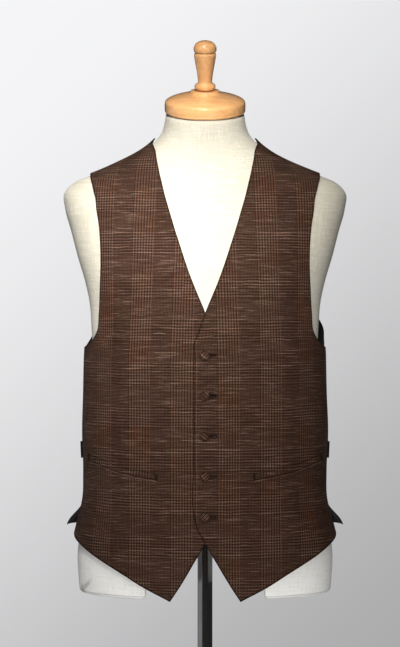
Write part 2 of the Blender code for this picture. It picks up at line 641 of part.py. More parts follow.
def make_form(finish):
    """The padded torso: lofted sections, an arch between its two short stumps."""
    foot = RINGS[0].height
    drop, inset = FORM_FOOT_ROUND, FORM_FOOT_ROUND
    heights = [ring.height for ring in RINGS[1:]]
    rows = [(foot, inset), (foot + 0.3 * drop, 0.3 * inset), (foot + drop, 0.0),
            (foot + 0.030, 0.0)] + [(height, 0.0) for height in heights]
    angles = np.linspace(0.0, 2 * math.pi, FORM_COLUMNS, endpoint=False)
    loops = []
    for height, pull in rows:
        ring = surface(angles, height, garment=False)
        middle = np.array([0.0, section(height, False)[4], height])
        flat = ring - middle
        reach = np.linalg.norm(flat, axis=1, keepdims=True)
        loops.append(middle + flat * (1.0 - pull / reach))
    mesh = loft("form_torso", loops)
    work = bmesh.new()
    work.from_mesh(mesh)
    axis = cap_frame().to_3x3() @ Vector((0.0, 0.0, 1.0))
    everything = work.verts[:] + work.edges[:] + work.faces[:]
    sliced = bmesh.ops.bisect_plane(work, geom=everything, dist=1e-6, clear_outer=True,
                                    plane_co=CAP_CENTRE - axis * SEAT_GAP, plane_no=axis)
    rim = [item for item in sliced["geom_cut"] if isinstance(item, bmesh.types.BMEdge)]
    bmesh.ops.contextual_create(work, geom=rim)
    bmesh.ops.recalc_face_normals(work, faces=work.faces)
    work.to_mesh(mesh)
    work.free()
    torso = add_object("form_torso", mesh, finish)
    cut(torso, arch_cutter(foot))
    bore = turned("pole_bore", [(POLE_RADIUS + POLE_CLEARANCE, foot - 0.05),
                                (POLE_RADIUS + POLE_CLEARANCE, POLE_TOP_Z + POLE_CLEARANCE)], 32)
    hole = bpy.data.objects.new("pole_bore", bore)
    bpy.context.scene.collection.objects.link(hole)
    cut(torso, hole)


def arch_cutter(foot):
    """Half ellipse, carried right through the form from front to back."""
    steps = 20
    outline = [(ARCH_HALF_WIDTH * math.cos(math.pi * k / steps),
                foot + ARCH_HEIGHT * math.sin(math.pi * k / steps)) for k in range(steps + 1)]
    outline = [(ARCH_HALF_WIDTH, foot - 0.02)] + outline + [(-ARCH_HALF_WIDTH, foot - 0.02)]
    reach = 0.25
    loops = [[(x, y, z) for x, z in outline] for y in (-reach, reach)]
    made = bpy.data.objects.new("arch_cutter", loft("arch_cutter", loops))
    bpy.context.scene.collection.objects.link(made)
    return made


def make_wood(finish):
    """Neck cap and finial, turned, seated on each other along the leaning axis."""
    place = cap_frame()
    for name, profile, segments in (("neck_cap", CAP_PROFILE, 36), ("finial", FINIAL_PROFILE, 24)):
        add_object(name, turned(name, profile, segments), finish).matrix_world = place


def make_stand(metal):
    """Pole into the form's bore above and into the base's socket below."""
    socket_floor = BASE_THICKNESS - BASE_SOCKET
    pole = turned("pole", [(POLE_RADIUS, socket_floor + POLE_CLEARANCE),
                           (POLE_RADIUS, POLE_TOP_Z)], 32)
    add_object("pole", pole, metal)
    edge = 0.003
    profile = [(BASE_RADIUS - 0.0010, 0.0), (BASE_RADIUS, 0.0010),
               (BASE_RADIUS, BASE_THICKNESS - edge),
               (BASE_RADIUS - 0.3 * edge, BASE_THICKNESS - 0.3 * edge),
               (BASE_RADIUS - edge, BASE_THICKNESS)]
    inner = POLE_RADIUS + POLE_CLEARANCE
    disc = turned("stand_base", profile, 56)
    base = add_object("stand_base", disc, metal)
    socket = turned("base_socket", [(inner, socket_floor), (inner, BASE_THICKNESS + 0.02)], 32)
    hole = bpy.data.objects.new("base_socket", socket)
    bpy.context.scene.collection.objects.link(hole)
    cut(base, hole)


suiting = material("suiting", (0.095, 0.060, 0.042), 0.85)
satin = material("satin", (0.006, 0.005, 0.006), 0.35)
canvas = material("canvas", (0.80, 0.76, 0.66), 0.90)
wood = material("wood", (0.78, 0.52, 0.27), 0.45)
steel = material("steel", (0.30, 0.29, 0.29), 0.22, 1.0)

make_fronts(suiting)
make_welts(suiting)
make_buttons(suiting)
make_backs(satin)
make_strap(satin, steel)
make_form(canvas)
make_wood(wood)
make_stand(steel)
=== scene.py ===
import math
from collections import namedtuple
from functools import partialmethod

import bmesh
import bpy
import numpy as np
from mathutils import Matrix, Vector


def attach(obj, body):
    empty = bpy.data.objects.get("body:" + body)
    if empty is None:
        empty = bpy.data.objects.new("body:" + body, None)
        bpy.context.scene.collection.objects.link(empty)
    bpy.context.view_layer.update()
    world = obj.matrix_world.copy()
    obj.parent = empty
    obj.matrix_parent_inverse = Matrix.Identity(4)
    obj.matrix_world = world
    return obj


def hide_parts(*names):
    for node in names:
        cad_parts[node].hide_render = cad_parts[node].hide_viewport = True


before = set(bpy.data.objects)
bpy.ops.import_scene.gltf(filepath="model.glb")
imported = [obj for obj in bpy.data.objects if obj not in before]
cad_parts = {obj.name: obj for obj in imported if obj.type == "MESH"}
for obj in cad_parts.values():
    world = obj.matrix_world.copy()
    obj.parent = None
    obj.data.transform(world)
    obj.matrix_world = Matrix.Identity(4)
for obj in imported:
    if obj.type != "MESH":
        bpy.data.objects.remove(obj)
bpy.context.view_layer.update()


# ---------------------------------------------------------------- padded torso
# A limbless bust over a hollow core, padded and covered in natural canvas.  It ends below
# in two short stumps with an arch between them, and above in a neck cut off at a slant.

# Sections of the form from its foot to the top of its neck, and how far the waistcoat
# stands off them.
Ring = namedtuple("Ring", "height half_width front back squareness middle lift "
                          "ease_side ease_front ease_back")
RINGS = np.array([
    [0.8, 0.19, 0.1, 0.108, 2.3, 0, 0, 0.014, 0.015, 0.012],
    [0.86, 0.193, 0.103, 0.114, 2.3, 0, 0, 0.01, 0.012, 0.01],
    [0.9, 0.187, 0.104, 0.116, 2.3, 0, 0, 0.0065, 0.01, 0.009],
    [0.94, 0.178, 0.103, 0.112, 2.3, 0, 0, 0.006, 0.0095, 0.009],
    [0.98, 0.172, 0.101, 0.106, 2.3, 0, 0, 0.011, 0.01, 0.01],
    [1.04, 0.168, 0.098, 0.094, 2.3, 0, 0, 0.0168, 0.012, 0.012],
    [1.1, 0.168, 0.101, 0.088, 2.3, 0, 0, 0.015, 0.0115, 0.012],
    [1.165, 0.17, 0.1085, 0.094, 2.4, 0, 0, 0.0115, 0.0085, 0.009],
    [1.2, 0.172, 0.113, 0.099, 2.4, 0, 0, 0.0075, 0.0065, 0.007],
    [1.235, 0.1745, 0.116, 0.1035, 2.4, 0, 0, 0.005, 0.005, 0.005],
    [1.27, 0.182, 0.117, 0.107, 2.4, 0, 0, 0.004, 0.004, 0.004],
    [1.305, 0.1925, 0.115, 0.1095, 2.45, 0.001, 0, 0.0035, 0.0035, 0.003],
    [1.345, 0.203, 0.11, 0.11, 2.55, 0.004, 0, 0.003, 0.003, 0.003],
    [1.38, 0.2125, 0.1025, 0.102, 2.6, 0.007, 0.0015, 0.0025, 0.0025, 0.0025],
    [1.405, 0.2125, 0.0955, 0.093, 2.5, 0.009, 0.0022, 0.002, 0.003, 0.003],
    [1.421, 0.194, 0.09, 0.0865, 2.4, 0.01, 0.0022, 0, 0.003, 0.003],
    [1.432, 0.165, 0.085, 0.081, 2.35, 0.01, 0.002, 0, 0.0028, 0.0028],
    [1.445, 0.134, 0.08, 0.075, 2.3, 0.0085, 0.002, 0, 0.002, 0.002],
    [1.46, 0.104, 0.074, 0.0695, 2.2, 0.0045, 0.002, 0, 0.002, 0.002],
    [1.475, 0.0815, 0.0695, 0.0655, 2.1, -0.001, 0.002, 0.001, 0.002, 0.002],
    [1.487, 0.069, 0.0665, 0.064, 2.05, -0.006, 0.002, 0.002, 0.002, 0.002],
    [1.5, 0.063, 0.064, 0.0635, 2, -0.01, 0.002, 0.002, 0.002, 0.002],
    [1.522, 0.0592, 0.06, 0.063, 2, -0.016, 0.002, 0.002, 0.002, 0.002],
    [1.548, 0.0585, 0.059, 0.0615, 2, -0.021, 0.002, 0.002, 0.002, 0.002],
])
RING = Ring(*RINGS.T)
FOOT, ARCH_HALF_WIDTH, ARCH_HEIGHT = 0.8, 0.088, 0.112
# Foot and lean of the gathered crease on one stump, where the canvas carries painted shade.
GATHER, GATHER_LEAN = (-0.1835, -0.033, 0.806), math.radians(53)
CAP_TILT = math.radians(18)
CAP_PLACE = Matrix.Translation((0.0, -0.015, 1.523)) @ Matrix.Rotation(CAP_TILT, 4, "X")
POLE_RADIUS, POLE_TOP = 0.01125, 1.03
# Seated pieces stand this far apart.
SEAT_GAP = 0.0003
BORE_RADIUS = POLE_RADIUS + SEAT_GAP


def smooth(at, knots, values):
    """Cubic through the values; each knot's slope is the parabola's of its neighbours."""
    knots, values = np.asarray(knots, float), np.asarray(values, float)
    step = np.diff(knots)
    chord = np.diff(values) / step
    slope = np.empty_like(values)
    slope[1:-1] = (chord[:-1] * step[1:] + chord[1:] * step[:-1]) / (step[1:] + step[:-1])
    slope[0], slope[-1] = chord[0], chord[-1]
    low = np.clip(np.searchsorted(knots, at) - 1, 0, len(step) - 1)
    t = np.clip((at - knots[low]) / step[low], 0.0, 1.0)
    span = step[low]
    return ((2 * t ** 3 - 3 * t ** 2 + 1) * values[low]
            + (t ** 3 - 2 * t ** 2 + t) * span * slope[low]
            + (3 * t ** 2 - 2 * t ** 3) * values[low + 1]
            + (t ** 3 - t ** 2) * span * slope[low + 1])


def section(height, garment=True):
    """Half width, front depth, back depth, squareness and middle of the section there."""
    on = float(garment)
    knots = RING.height + on * RING.lift
    columns = (RING.half_width + on * RING.ease_side, RING.front + on * RING.ease_front,
               RING.back + on * RING.ease_back, RING.squareness, RING.middle)
    return [smooth(np.asarray(height, float), knots, column) for column in columns]


def surface(angle, height, garment=True):
    """Point of the form, or of the waistcoat's inner face, at an angle from the front.

    1 / radius^n = |sin / half width|^n + |cos / depth|^n, with one depth before the
    middle and another behind it; n is the squareness.
    """
    angle, height = np.broadcast_arrays(np.asarray(angle, float), np.asarray(height, float))
    half, front, back, power, middle = section(height, garment)
    depth = np.where(np.cos(angle) > 0.0, front, back)
    radius = ((np.abs(np.sin(angle)) / half) ** power
              + (np.abs(np.cos(angle)) / depth) ** power) ** (-1.0 / power)
    return np.stack([radius * np.sin(angle), middle - radius * np.cos(angle), height], -1)


def quads(columns, rows, closed=False, ringed=False):
    """Faces of a grid of columns by rows points.

    Closed joins the last column to the first, ringed the last row to the first.
    """
    index = np.arange(columns * rows).reshape(columns, rows)
    after = np.roll(index, -1, axis=0)
    faces = np.stack([index, after, np.roll(after, -1, axis=1), np.roll(index, -1, axis=1)], -1)
    return faces[:None if closed else -1, :None if ringed else -1].reshape(-1, 4)


def new_mesh(name, points, faces):
    """Mesh from arrays; faces is a list of arrays, each with its own number of corners."""
    mesh = bpy.data.meshes.new(name)
    flat = [face for block in faces for face in np.atleast_2d(block).tolist()]
    mesh.from_pydata(points.reshape(-1, 3).tolist(), [], flat)
    return mesh


def new_object(name, data):
    """Object in the scene."""
    made = bpy.data.objects.new(name, data)
    bpy.context.scene.collection.objects.link(made)
    return made


def modify(made, kind, **settings):
    """Give the object one more modifier of that kind."""
    step = made.modifiers.new(kind.lower(), kind)
    for key, value in settings.items():
        setattr(step, key, value)


def settle(made):
    """Turn the object's live modifiers into its mesh."""
    graph = bpy.context.evaluated_depsgraph_get()
    mesh = bpy.data.meshes.new_from_object(made.evaluated_get(graph))
    made.modifiers.clear()
    made.data = mesh
    return made


def combine(made, tool, operation="DIFFERENCE"):
    """Cut the tool's shape out of the object, or weld it on, and throw the tool away."""
    modify(made, "BOOLEAN", operation=operation, solver="EXACT", object=tool)
    settle(made)
    bpy.data.objects.remove(tool)
    return made


def finish_piece(made, material, slot, *nodes):
    """Give a piece its material and body; it stands for the named CAD nodes, if any.  Its slot is not
    used.
    """
    made.data.materials.clear()
    made.data.materials.append(material)
    made.data.shade_smooth()
    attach(made, "root")
    if nodes:
        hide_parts(*nodes)
    return made


def solid(name, points, faces, place=Matrix(), weld=False):
    """Closed solid put in its place, with its faces outwards; weld joins doubled points."""
    mesh = new_mesh(name, points, faces)
    mesh.transform(place)
    work = bmesh.new()
    work.from_mesh(mesh)
    if weld:
        bmesh.ops.remove_doubles(work, verts=work.verts, dist=1e-6)
        bmesh.ops.dissolve_degenerate(work, edges=work.edges, dist=1e-7)
    bmesh.ops.recalc_face_normals(work, faces=work.faces)
    work.to_mesh(mesh)
    work.free()
    return new_object(name, mesh)


def prism(name, outline, low, high, place=Matrix()):
    """Straight solid over an outline of (x, y) points, then put in its place."""
    count = len(outline)
    points = np.concatenate([np.c_[outline, np.full(count, end)] for end in (low, high)])
    ring = np.arange(count)
    after = np.roll(ring, -1)
    return solid(name, points, [np.stack([ring, after, count + after, count + ring], -1),
                                ring[::-1], count + ring], place)


def full_turn(count):
    """Evenly spaced angles once round."""
    return np.linspace(0.0, 2 * math.pi, count, endpoint=False)


def polar(angle):
    """(cos, sin) of each angle."""
    return np.stack([np.cos(angle), np.sin(angle)], -1)


def circle(radius, count):
    """Points of a circle."""
    return radius * polar(full_turn(count))


def make_torso():
    """The bust: surface(angle, height) up to the slanted plane under the neck cap."""
    angle = full_turn(160)
    axis = CAP_PLACE.to_3x3() @ Vector((0, 0, 1))
    under = CAP_PLACE.translation - axis * SEAT_GAP
    top = np.full(len(angle), under.z)
    # Each round puts the top of every column nearer to the slanted plane.
    for _ in range(12):
        point = surface(angle, top, False)
        top = under.z - (axis.x * (point[:, 0] - under.x) + axis.y * (point[:, 1] - under.y)) / axis.z
    share = np.linspace(0.0, 1.0, 130)
    height = FOOT + share[None] * (top[:, None] - FOOT)
    points = surface(angle[:, None], height, False)
    ring = np.arange(len(angle)) * len(share)
    torso = solid("torso_canvas", points, [quads(len(angle), len(share), True),
                                           ring[::-1], ring + len(share) - 1])
    below = FOOT - 0.05
    arch = polar(np.linspace(0.0, math.pi, 41)) * (ARCH_HALF_WIDTH, ARCH_HEIGHT) + (0.0, FOOT)
    arch = np.vstack([(ARCH_HALF_WIDTH, below), arch, (-ARCH_HALF_WIDTH, below)])
    combine(torso, prism("arch", arch, -0.3, 0.3, Matrix.Rotation(math.radians(90), 4, "X")))
    modify(torso, "REMESH", mode="VOXEL", voxel_size=0.0042)
    modify(torso, "SMOOTH", factor=0.5, iterations=5)
    settle(torso)
    return combine(torso, prism("bore", circle(BORE_RADIUS, 64), below, POLE_TOP + SEAT_GAP))


class Wire:
    """Output of a node: sums and products with it, and its methods, add nodes after it."""

    def __init__(self, socket):
        self.socket, self.tree = socket, socket.id_data

    def into(self, socket):
        """Plug it into an input."""
        self.tree.links.new(self.socket, socket)

    def math(self, operation, *others):
        """One Math node, with this wire first."""
        sockets = {"i%d" % k: value for k, value in enumerate((self, *others))}
        return add_node(self.tree, "Math", 0, {"operation": operation}, **sockets)

    __abs__ = partialmethod(math, "ABSOLUTE")
    __add__ = partialmethod(math, "ADD")
    __gt__ = partialmethod(math, "GREATER_THAN")
    __lt__ = partialmethod(math, "LESS_THAN")
    __mod__ = partialmethod(math, "FLOORED_MODULO")
    __mul__ = partialmethod(math, "MULTIPLY")
    __sub__ = partialmethod(math, "SUBTRACT")
    __truediv__ = partialmethod(math, "DIVIDE")

    def __rsub__(self, number):
        """Number less this wire."""
        return self.math("MULTIPLY_ADD", -1.0, number)

    def split(self):
        """The three parts of a vector."""
        return add_node(self.tree, "SeparateXYZ", None, Vector=self)

    def mix(self, low, high):
        """Colour between low, where this wire is 0, and high, where it is 1."""
        return add_node(self.tree, "Mix", 2, {"data_type": "RGBA"}, i0=self, i6=low, i7=high)

    def ramp(self, low, high, to_low=0.0, to_high=1.0):
        """Smooth step of the value from low..high to to_low..to_high."""
        return add_node(self.tree, "MapRange", 0, {"interpolation_type": "SMOOTHSTEP"},
                        Value=self, From_Min=low, From_Max=high, To_Min=to_low, To_Max=to_high)

    def noise(self, *scale, detail=2.0, roughness=0.5):
        """Noise over a vector whose axes are scaled first."""
        placed = add_node(self.tree, "Mapping", Vector=self, Scale=scale)
        return add_node(self.tree, "TexNoise", Vector=placed, Scale=1.0, Detail=detail,
                        Roughness=roughness)


def add_node(tree, kind, output=0, settings=(), **inputs):
    """New node of that kind: the wire of its output of that name or number, None for all.

    Settings are its own attributes; inputs are its sockets, by name or as i and a number.
    """
    node = tree.nodes.new("ShaderNode" + kind)
    for key, value in dict(settings).items():
        setattr(node, key, value)
    for key, value in inputs.items():
        socket = node.inputs[int(key[1:]) if key[1:].isdigit() else key.replace("_", " ")]
        if isinstance(value, Wire):
            value.into(socket)
        else:
            socket.default_value = value
    if output is None:
        return [Wire(socket) for socket in node.outputs]
    return Wire(node.outputs[output])


def new_material(name, **sockets):
    """Material with a Principled shader; returns it with its node tree and its shader."""
    made = bpy.data.materials.new(name)
    made.use_nodes = True
    shader = made.node_tree.nodes["Principled BSDF"]
    for key, value in sockets.items():
        shader.inputs[key.replace("_", " ")].default_value = value
    return made, made.node_tree, shader


def plug(shader, colour, height=None, distance=0.0, roughness=None, strength=1.0):
    """Plug a colour, a roughness and a bump's height into a shader."""
    bump = None
    if height is not None:
        bump = add_node(shader.id_data, "Bump", Strength=strength, Distance=distance, Height=height)
    for label, value in (("Base Color", colour), ("Roughness", roughness), ("Normal", bump)):
        if value is not None:
            value.into(shader.inputs[label])


def new_group(name, inputs, outputs):
    """Empty node group from its inputs' names and kinds and its outputs' names.

    Returns its tree, the wires of its inputs, and the sockets that its outputs plug into.
    """
    group = bpy.data.node_groups.new(name, "ShaderNodeTree")
    for label, kind in inputs.items():
        group.interface.new_socket(label, in_out="INPUT", socket_type="NodeSocket" + kind)
    for label in outputs:
        group.interface.new_socket(label, in_out="OUTPUT", socket_type="NodeSocketFloat")
    given = group.nodes.new("NodeGroupInput").outputs
    taken = group.nodes.new("NodeGroupOutput").inputs
    return group, [Wire(given[label]) for label in inputs], taken


def make_plain_weave():
    """Group: plain weave, sin(x + y) sin(z - y), with half a turn for each yarn's pitch."""
    group, (place, pitch), out = new_group(
        "plain_weave", {"Position": "Vector", "Pitch": "Float"}, ["Height"])
    x, y, z = place.split()
    warp, weft = [(way / pitch * math.pi).math("SINE") for way in (x + y, z - y)]
    (warp * weft * 0.5 + 0.5).into(out["Height"])
    return group


plain_weave = make_plain_weave()


def make_canvas():
    """Undyed canvas: plain weave, faint thick yarns, sewn seams, and painted shade: darker and
    yellower higher up.

    At the outer foot of one stump the cover is gathered: a soft crease runs up from there, with
    painted shade along it and a darker painted spot at its foot.
    """
    made, tree, shader = new_material("canvas", Roughness=0.92, Sheen_Weight=0.1, Sheen_Roughness=0.6)
    place = add_node(tree, "TexCoord", "Object")
    x, y, z = place.split()
    weave = add_node(tree, "Group", "Height", {"node_tree": plain_weave}, Position=place, Pitch=0.0009)
    yarns = place.noise(30.0, 30.0, 900.0) * place.noise(800.0, 800.0, 26.0)
    patch = place.noise(6.0, 6.0, 6.0, detail=3.0)
    # Painted shade: the canvas darkens and yellows towards the neck, where the key lamp falls
    # strongest.
    colour = (patch * 0.25 + z).ramp(0.95, 1.45).mix((0.81, 0.805, 0.78, 1), (0.445, 0.41, 0.322, 1))
    colour = yarns.ramp(0.2, 0.38, 0.0, 0.5).mix(colour, (0.66, 0.62, 0.53, 1))
    colour = (weave * 0.1).mix(colour, (0.52, 0.47, 0.38, 1))
    hem_height, side_seam = 0.0045, 0.004
    hem, side = abs(z - FOOT - hem_height), abs(y - side_seam)
    centre = abs(x) + y.ramp(-0.01, 0.0, 1.0, 0.0)
    seam = hem.math("MINIMUM", side).math("MINIMUM", centre)
    line = seam.ramp(0.0003, 0.0011, 1.0, 0.0)
    colour = (line * 0.45).mix(colour, (0.3, 0.29, 0.27, 1))
    # Painted shade along the gathered crease, darkest in a spot at its foot; the same mask also sinks
    # the crease in the bump.
    away = add_node(tree, "VectorMath", "Value", {"operation": "DISTANCE"}, i0=place, i1=GATHER)
    _, _, off = add_node(tree, "Mapping", 0, {"vector_type": "TEXTURE"}, Vector=place,
                         Location=GATHER, Rotation=(0.0, -GATHER_LEAN, 0.0)).split()
    off = abs(place.noise(70.0, 70.0, 70.0, detail=1.0) * 0.0032 + off - 0.0016)
    gather_and_shade = off.ramp(0.0004, 0.0048, 1.0, 0.0) * away.ramp(0.018, 0.038, 0.85, 0.0)
    gather_and_shade = gather_and_shade.math("MAXIMUM", away.ramp(0.003, 0.012, 1.0, 0.0))
    colour = (gather_and_shade * 0.6).mix(colour, (0.225, 0.22, 0.205, 1))
    height = weave * 0.5 + yarns - gather_and_shade * 5.0 - line * 2.0
    plug(shader, colour, height, 0.00025, strength=0.6)
    return made


torso = finish_piece(make_torso(), make_canvas(), "canvas", "form_torso")


# ---------------------------------------------------------------- neck cap and finial
# Both are turned from pale close-grained wood and varnished.  The cap is a flat disc with
# a rounded edge and a low collar; the finial stands on it and ends in a ball.

CAP_PROFILE = [
    (0.0, 0.0), (0.058, 0.0), (0.0602, 0.0014), (0.061, 0.0036), (0.0606, 0.0052), (0.061, 0.0068),
    (0.061, 0.012), (0.0606, 0.016), (0.059, 0.0187), (0.0545, 0.0213), (0.046, 0.0245),
    (0.034, 0.0277), (0.0245, 0.0295), (0.0228, 0.03), (0.0224, 0.0325), (0.0215, 0.034),
    (0.0, 0.0342)]
FINIAL_PROFILE = [
    (0.0, 0.0345), (0.0125, 0.0345), (0.015, 0.0362), (0.0159, 0.0388), (0.0157, 0.0415),
    (0.0145, 0.0434), (0.0118, 0.0446), (0.0107, 0.0462), (0.0106, 0.049), (0.0113, 0.055),
    (0.013, 0.066), (0.0146, 0.0745), (0.016, 0.083), (0.0166, 0.0872), (0.0162, 0.0893),
    (0.0148, 0.0902), (0.015, 0.0912), (0.0164, 0.0923), (0.0172, 0.0945), (0.0172, 0.0978),
    (0.0161, 0.1016), (0.0135, 0.105), (0.0096, 0.1076), (0.0045, 0.109), (0.0, 0.1092)]


def round_off(profile, times=2):
    """Cut each corner of an open line at a quarter and three quarters, a few times over."""
    line = np.asarray(profile, float)
    for _ in range(times):
        early = 0.75 * line[:-1] + 0.25 * line[1:]
        late = 0.25 * line[:-1] + 0.75 * line[1:]
        line = np.concatenate([line[:1], np.stack([early, late], 1).reshape(-1, 2), line[-1:]])
    return line


def turned(name, profile, segments, place=Matrix()):
    """Lathe work: each (radius, height) of the line goes once round the axis."""
    line = np.asarray(profile, float)
    turn = full_turn(segments)[:, None]
    points = np.stack([line[:, 0] * np.cos(turn), line[:, 0] * np.sin(turn),
                       line[:, 1] + 0.0 * turn], -1)
    return solid(name, points, [quads(segments, len(line), closed=True)], place, weld=True)


def make_wood(name, along):
    """Pale turned wood: long grain along the given axis, short dark flecks, clear varnish."""
    made, tree, shader = new_material(name, Coat_Weight=1.0, Coat_Roughness=0.07)
    place = add_node(tree, "Mapping", Vector=add_node(tree, "TexCoord", "Object"),
                     Rotation=along, Location=(0.013, 0.004, 0.021))
    bands = place.noise(14.0, 150.0, 150.0, detail=3.0, roughness=0.6)
    fibre = place.noise(60.0, 1900.0, 1900.0)
    fleck = place.noise(260.0, 1500.0, 1500.0, detail=0.0)
    colour = bands.ramp(0.3, 0.7).mix((0.69, 0.336, 0.124, 1), (0.8, 0.436, 0.184, 1))
    colour = fibre.ramp(0.45, 0.75, 0.0, 0.35).mix(colour, (0.56, 0.29, 0.1, 1))
    colour = fleck.ramp(0.66, 0.72, 0.0, 0.55).mix(colour, (0.42, 0.2, 0.07, 1))
    plug(shader, colour, fibre, 0.00006, fibre.ramp(0.3, 0.7, 0.3, 0.42), 0.5)
    return made


for name, profile, segments, grain, node in (
        ("cap_wood", CAP_PROFILE, 128, (0.0, 0.0, 0.12), "neck_cap"),
        ("finial_wood", FINIAL_PROFILE, 96, (0.0, math.pi / 2 - CAP_TILT, math.pi / 2), "finial")):
    wood_piece = turned(name, round_off(profile), segments, CAP_PLACE)
    finish_piece(wood_piece, make_wood(name, grain), "wood", node)


# ---------------------------------------------------------------- pole and base
# A dark chromed steel tube goes up into the form's bore; a flat round steel foot carries
# it in a shallow socket.

BASE_RADIUS, BASE_THICKNESS, SOCKET_FLOOR = 0.16, 0.01, 0.004
POLE_FOOT = SOCKET_FLOOR + SEAT_GAP
POLE_PROFILE = [(0.0, POLE_FOOT), (POLE_RADIUS, POLE_FOOT), (POLE_RADIUS, POLE_TOP - 0.001),
                (POLE_RADIUS - 0.001, POLE_TOP), (0.0, POLE_TOP)]
BASE_PROFILE = [
    (0.0, 0.0), (BASE_RADIUS - 0.001, 0.0), (BASE_RADIUS, 0.001),
    (BASE_RADIUS, BASE_THICKNESS - 0.003), (BASE_RADIUS - 0.0009, BASE_THICKNESS - 0.0009),
    (BASE_RADIUS - 0.003, BASE_THICKNESS), (BORE_RADIUS + 0.0008, BASE_THICKNESS),
    (BORE_RADIUS, BASE_THICKNESS - 0.0006), (BORE_RADIUS, SOCKET_FLOOR), (0.0, SOCKET_FLOOR)]


def make_chrome():
    """Dark bright steel: drawn lines round the tube and soft handling marks in its gloss."""
    made, tree, shader = new_material("dark_chrome", Metallic=1.0)
    place = add_node(tree, "TexCoord", "Object")
    rings = place.noise(8.0, 8.0, 1800.0, detail=1.0)
    marks = place.noise(35.0, 35.0, 9.0, detail=4.0, roughness=0.65)
    colour = marks.ramp(0.35, 0.7).mix((0.285, 0.28, 0.268, 1), (0.225, 0.221, 0.212, 1))
    plug(shader, colour, rings, 0.00002, marks.ramp(0.35, 0.75, 0.13, 0.26), 0.3)
    return made


dark_chrome = make_chrome()
for name, profile, segments, node in (("pole_tube", POLE_PROFILE, 96, "pole"),
                                      ("base_disc", BASE_PROFILE, 144, "stand_base")):
    steel_piece = finish_piece(turned(name, profile, segments), dark_chrome, "steel", node)
    steel_piece.data.set_sharp_from_angle(angle=math.radians(35))


# ---------------------------------------------------------------- the two backs
# Black satin over a thin lining, in two halves with a centre seam.  The side seam stops
# short of the hem, so each back ends in a loose corner beside its vent.

BACK_WALL, SEAM_GAP = 0.0012, 0.0004
SIDE_ANGLE, UNDERARM, VENT_TOP = math.radians(92.0), 1.165, 0.922
BACK_CORNER, BACK_HEM, BACK_LEVEL, BACK_NECK, BACK_RADIUS = 0.8945, 0.888, 1.19, 1.466, 0.125
VENT_FLARE, FLARE_REACH = 0.015, math.radians(38.0)
NECK_POINT, SHOULDER_TIP, SHOULDER_FORWARD = 1.484, 1.4315, 0.007
STRAP_HEIGHT = 1.012
# Sign of x and name of the wearer's two sides.
SIDES = ((1, "left"), (-1, "right"))

# Back neck as (angle from the centre front, height); back armhole as (x, height).
BACK_NECK_LINE = [(math.radians(150.0), 1.4675), (math.radians(118.0), 1.474)]
BACK_ARMHOLE = [
    (0.1785, 1.178), (0.1745, 1.192), (0.169, 1.212), (0.163, 1.24), (0.16, 1.275), (0.159, 1.32),
    (0.161, 1.36), (0.1655, 1.395), (0.1695, 1.415), (0.1718, 1.425)]


def unit(vectors):
    """The vectors, each brought to length 1."""
    return vectors / np.linalg.norm(vectors, axis=-1, keepdims=True)


def outward(angle, height):
    """Unit normal of the garment surface, away from the form."""
    nudge = 0.0005
    across = surface(angle + nudge, height) - surface(angle - nudge, height)
    upward = (surface(angle, np.asarray(height) + nudge) - surface(angle, np.asarray(height) - nudge))
    return unit(np.cross(across, upward))


def panel_angle(x, z, behind=False):
    """Angle of a point that lies x from the centre front, or back, at height z."""
    half, front, back, power, _ = section(z)
    share = np.clip(np.abs(x) / half, 0.0, 0.9995)
    depth = back if behind else front
    angle = np.arctan2(x, depth * (1.0 - share ** power) ** (1.0 / power))
    return math.pi - angle if behind else angle


def at_angles(spots, behind=False):
    """Places (x, z) turned into (angle, z)."""
    x, z = np.transpose(spots)
    return np.stack([panel_angle(x, z, behind), z], -1)


def shoulder_seam(columns, gap):
    """(angle, z) along the shoulder seam from neck to tip, a fixed distance before the ridge."""
    z = np.linspace(NECK_POINT, SHOULDER_TIP, columns)
    return np.stack([np.arctan2(section(z)[0], SHOULDER_FORWARD) + gap, z], -1)


def ramp(value):
    """Smooth step from 0 to 1."""
    value = np.clip(value, 0.0, 1.0)
    return value * value * (3.0 - 2.0 * value)


def bell(*parts):
    """exp(-sum of squares), each part a distance over its width."""
    return np.exp(-sum(part ** 2 for part in parts))


def walked(points):
    """Length of a line from its start to each of its points."""
    return np.r_[0.0, np.cumsum(np.linalg.norm(np.diff(points, axis=0), axis=1))]


def along(points, count):
    """Evenly spaced points on the smooth curve through the given (angle, z) or (x, z)."""
    points = np.asarray(points, float)
    scale = np.array([0.15, 1.0])
    knots = walked(points * scale)
    fine = np.linspace(0.0, knots[-1], 40 * len(points))
    curve = np.stack([smooth(fine, knots, points[:, k]) for k in (0, 1)], -1)
    length = walked(curve * scale)
    want = np.linspace(0.0, length[-1], count)
    return np.stack([np.interp(want, length, curve[:, k]) for k in (0, 1)], -1)


def join(*curves):
    """Curves set end to end, without the doubled point."""
    return np.concatenate([curves[0]] + [curve[1:] for curve in curves[1:]])


def spread(left, right, lower, upper):
    """Patch between four edge curves: the two blends of opposite edges, less the corners."""
    u = np.linspace(0.0, 1.0, len(lower))[:, None, None]
    v = np.linspace(0.0, 1.0, len(left))[None, :, None]
    sides = (1 - u) * left[None] + u * right[None]
    ends = (1 - v) * lower[:, None] + v * upper[:, None]
    corners = ((1 - u) * (1 - v) * lower[0] + u * (1 - v) * lower[-1]
               + (1 - u) * v * upper[0] + u * v * upper[-1])
    return sides + ends - corners


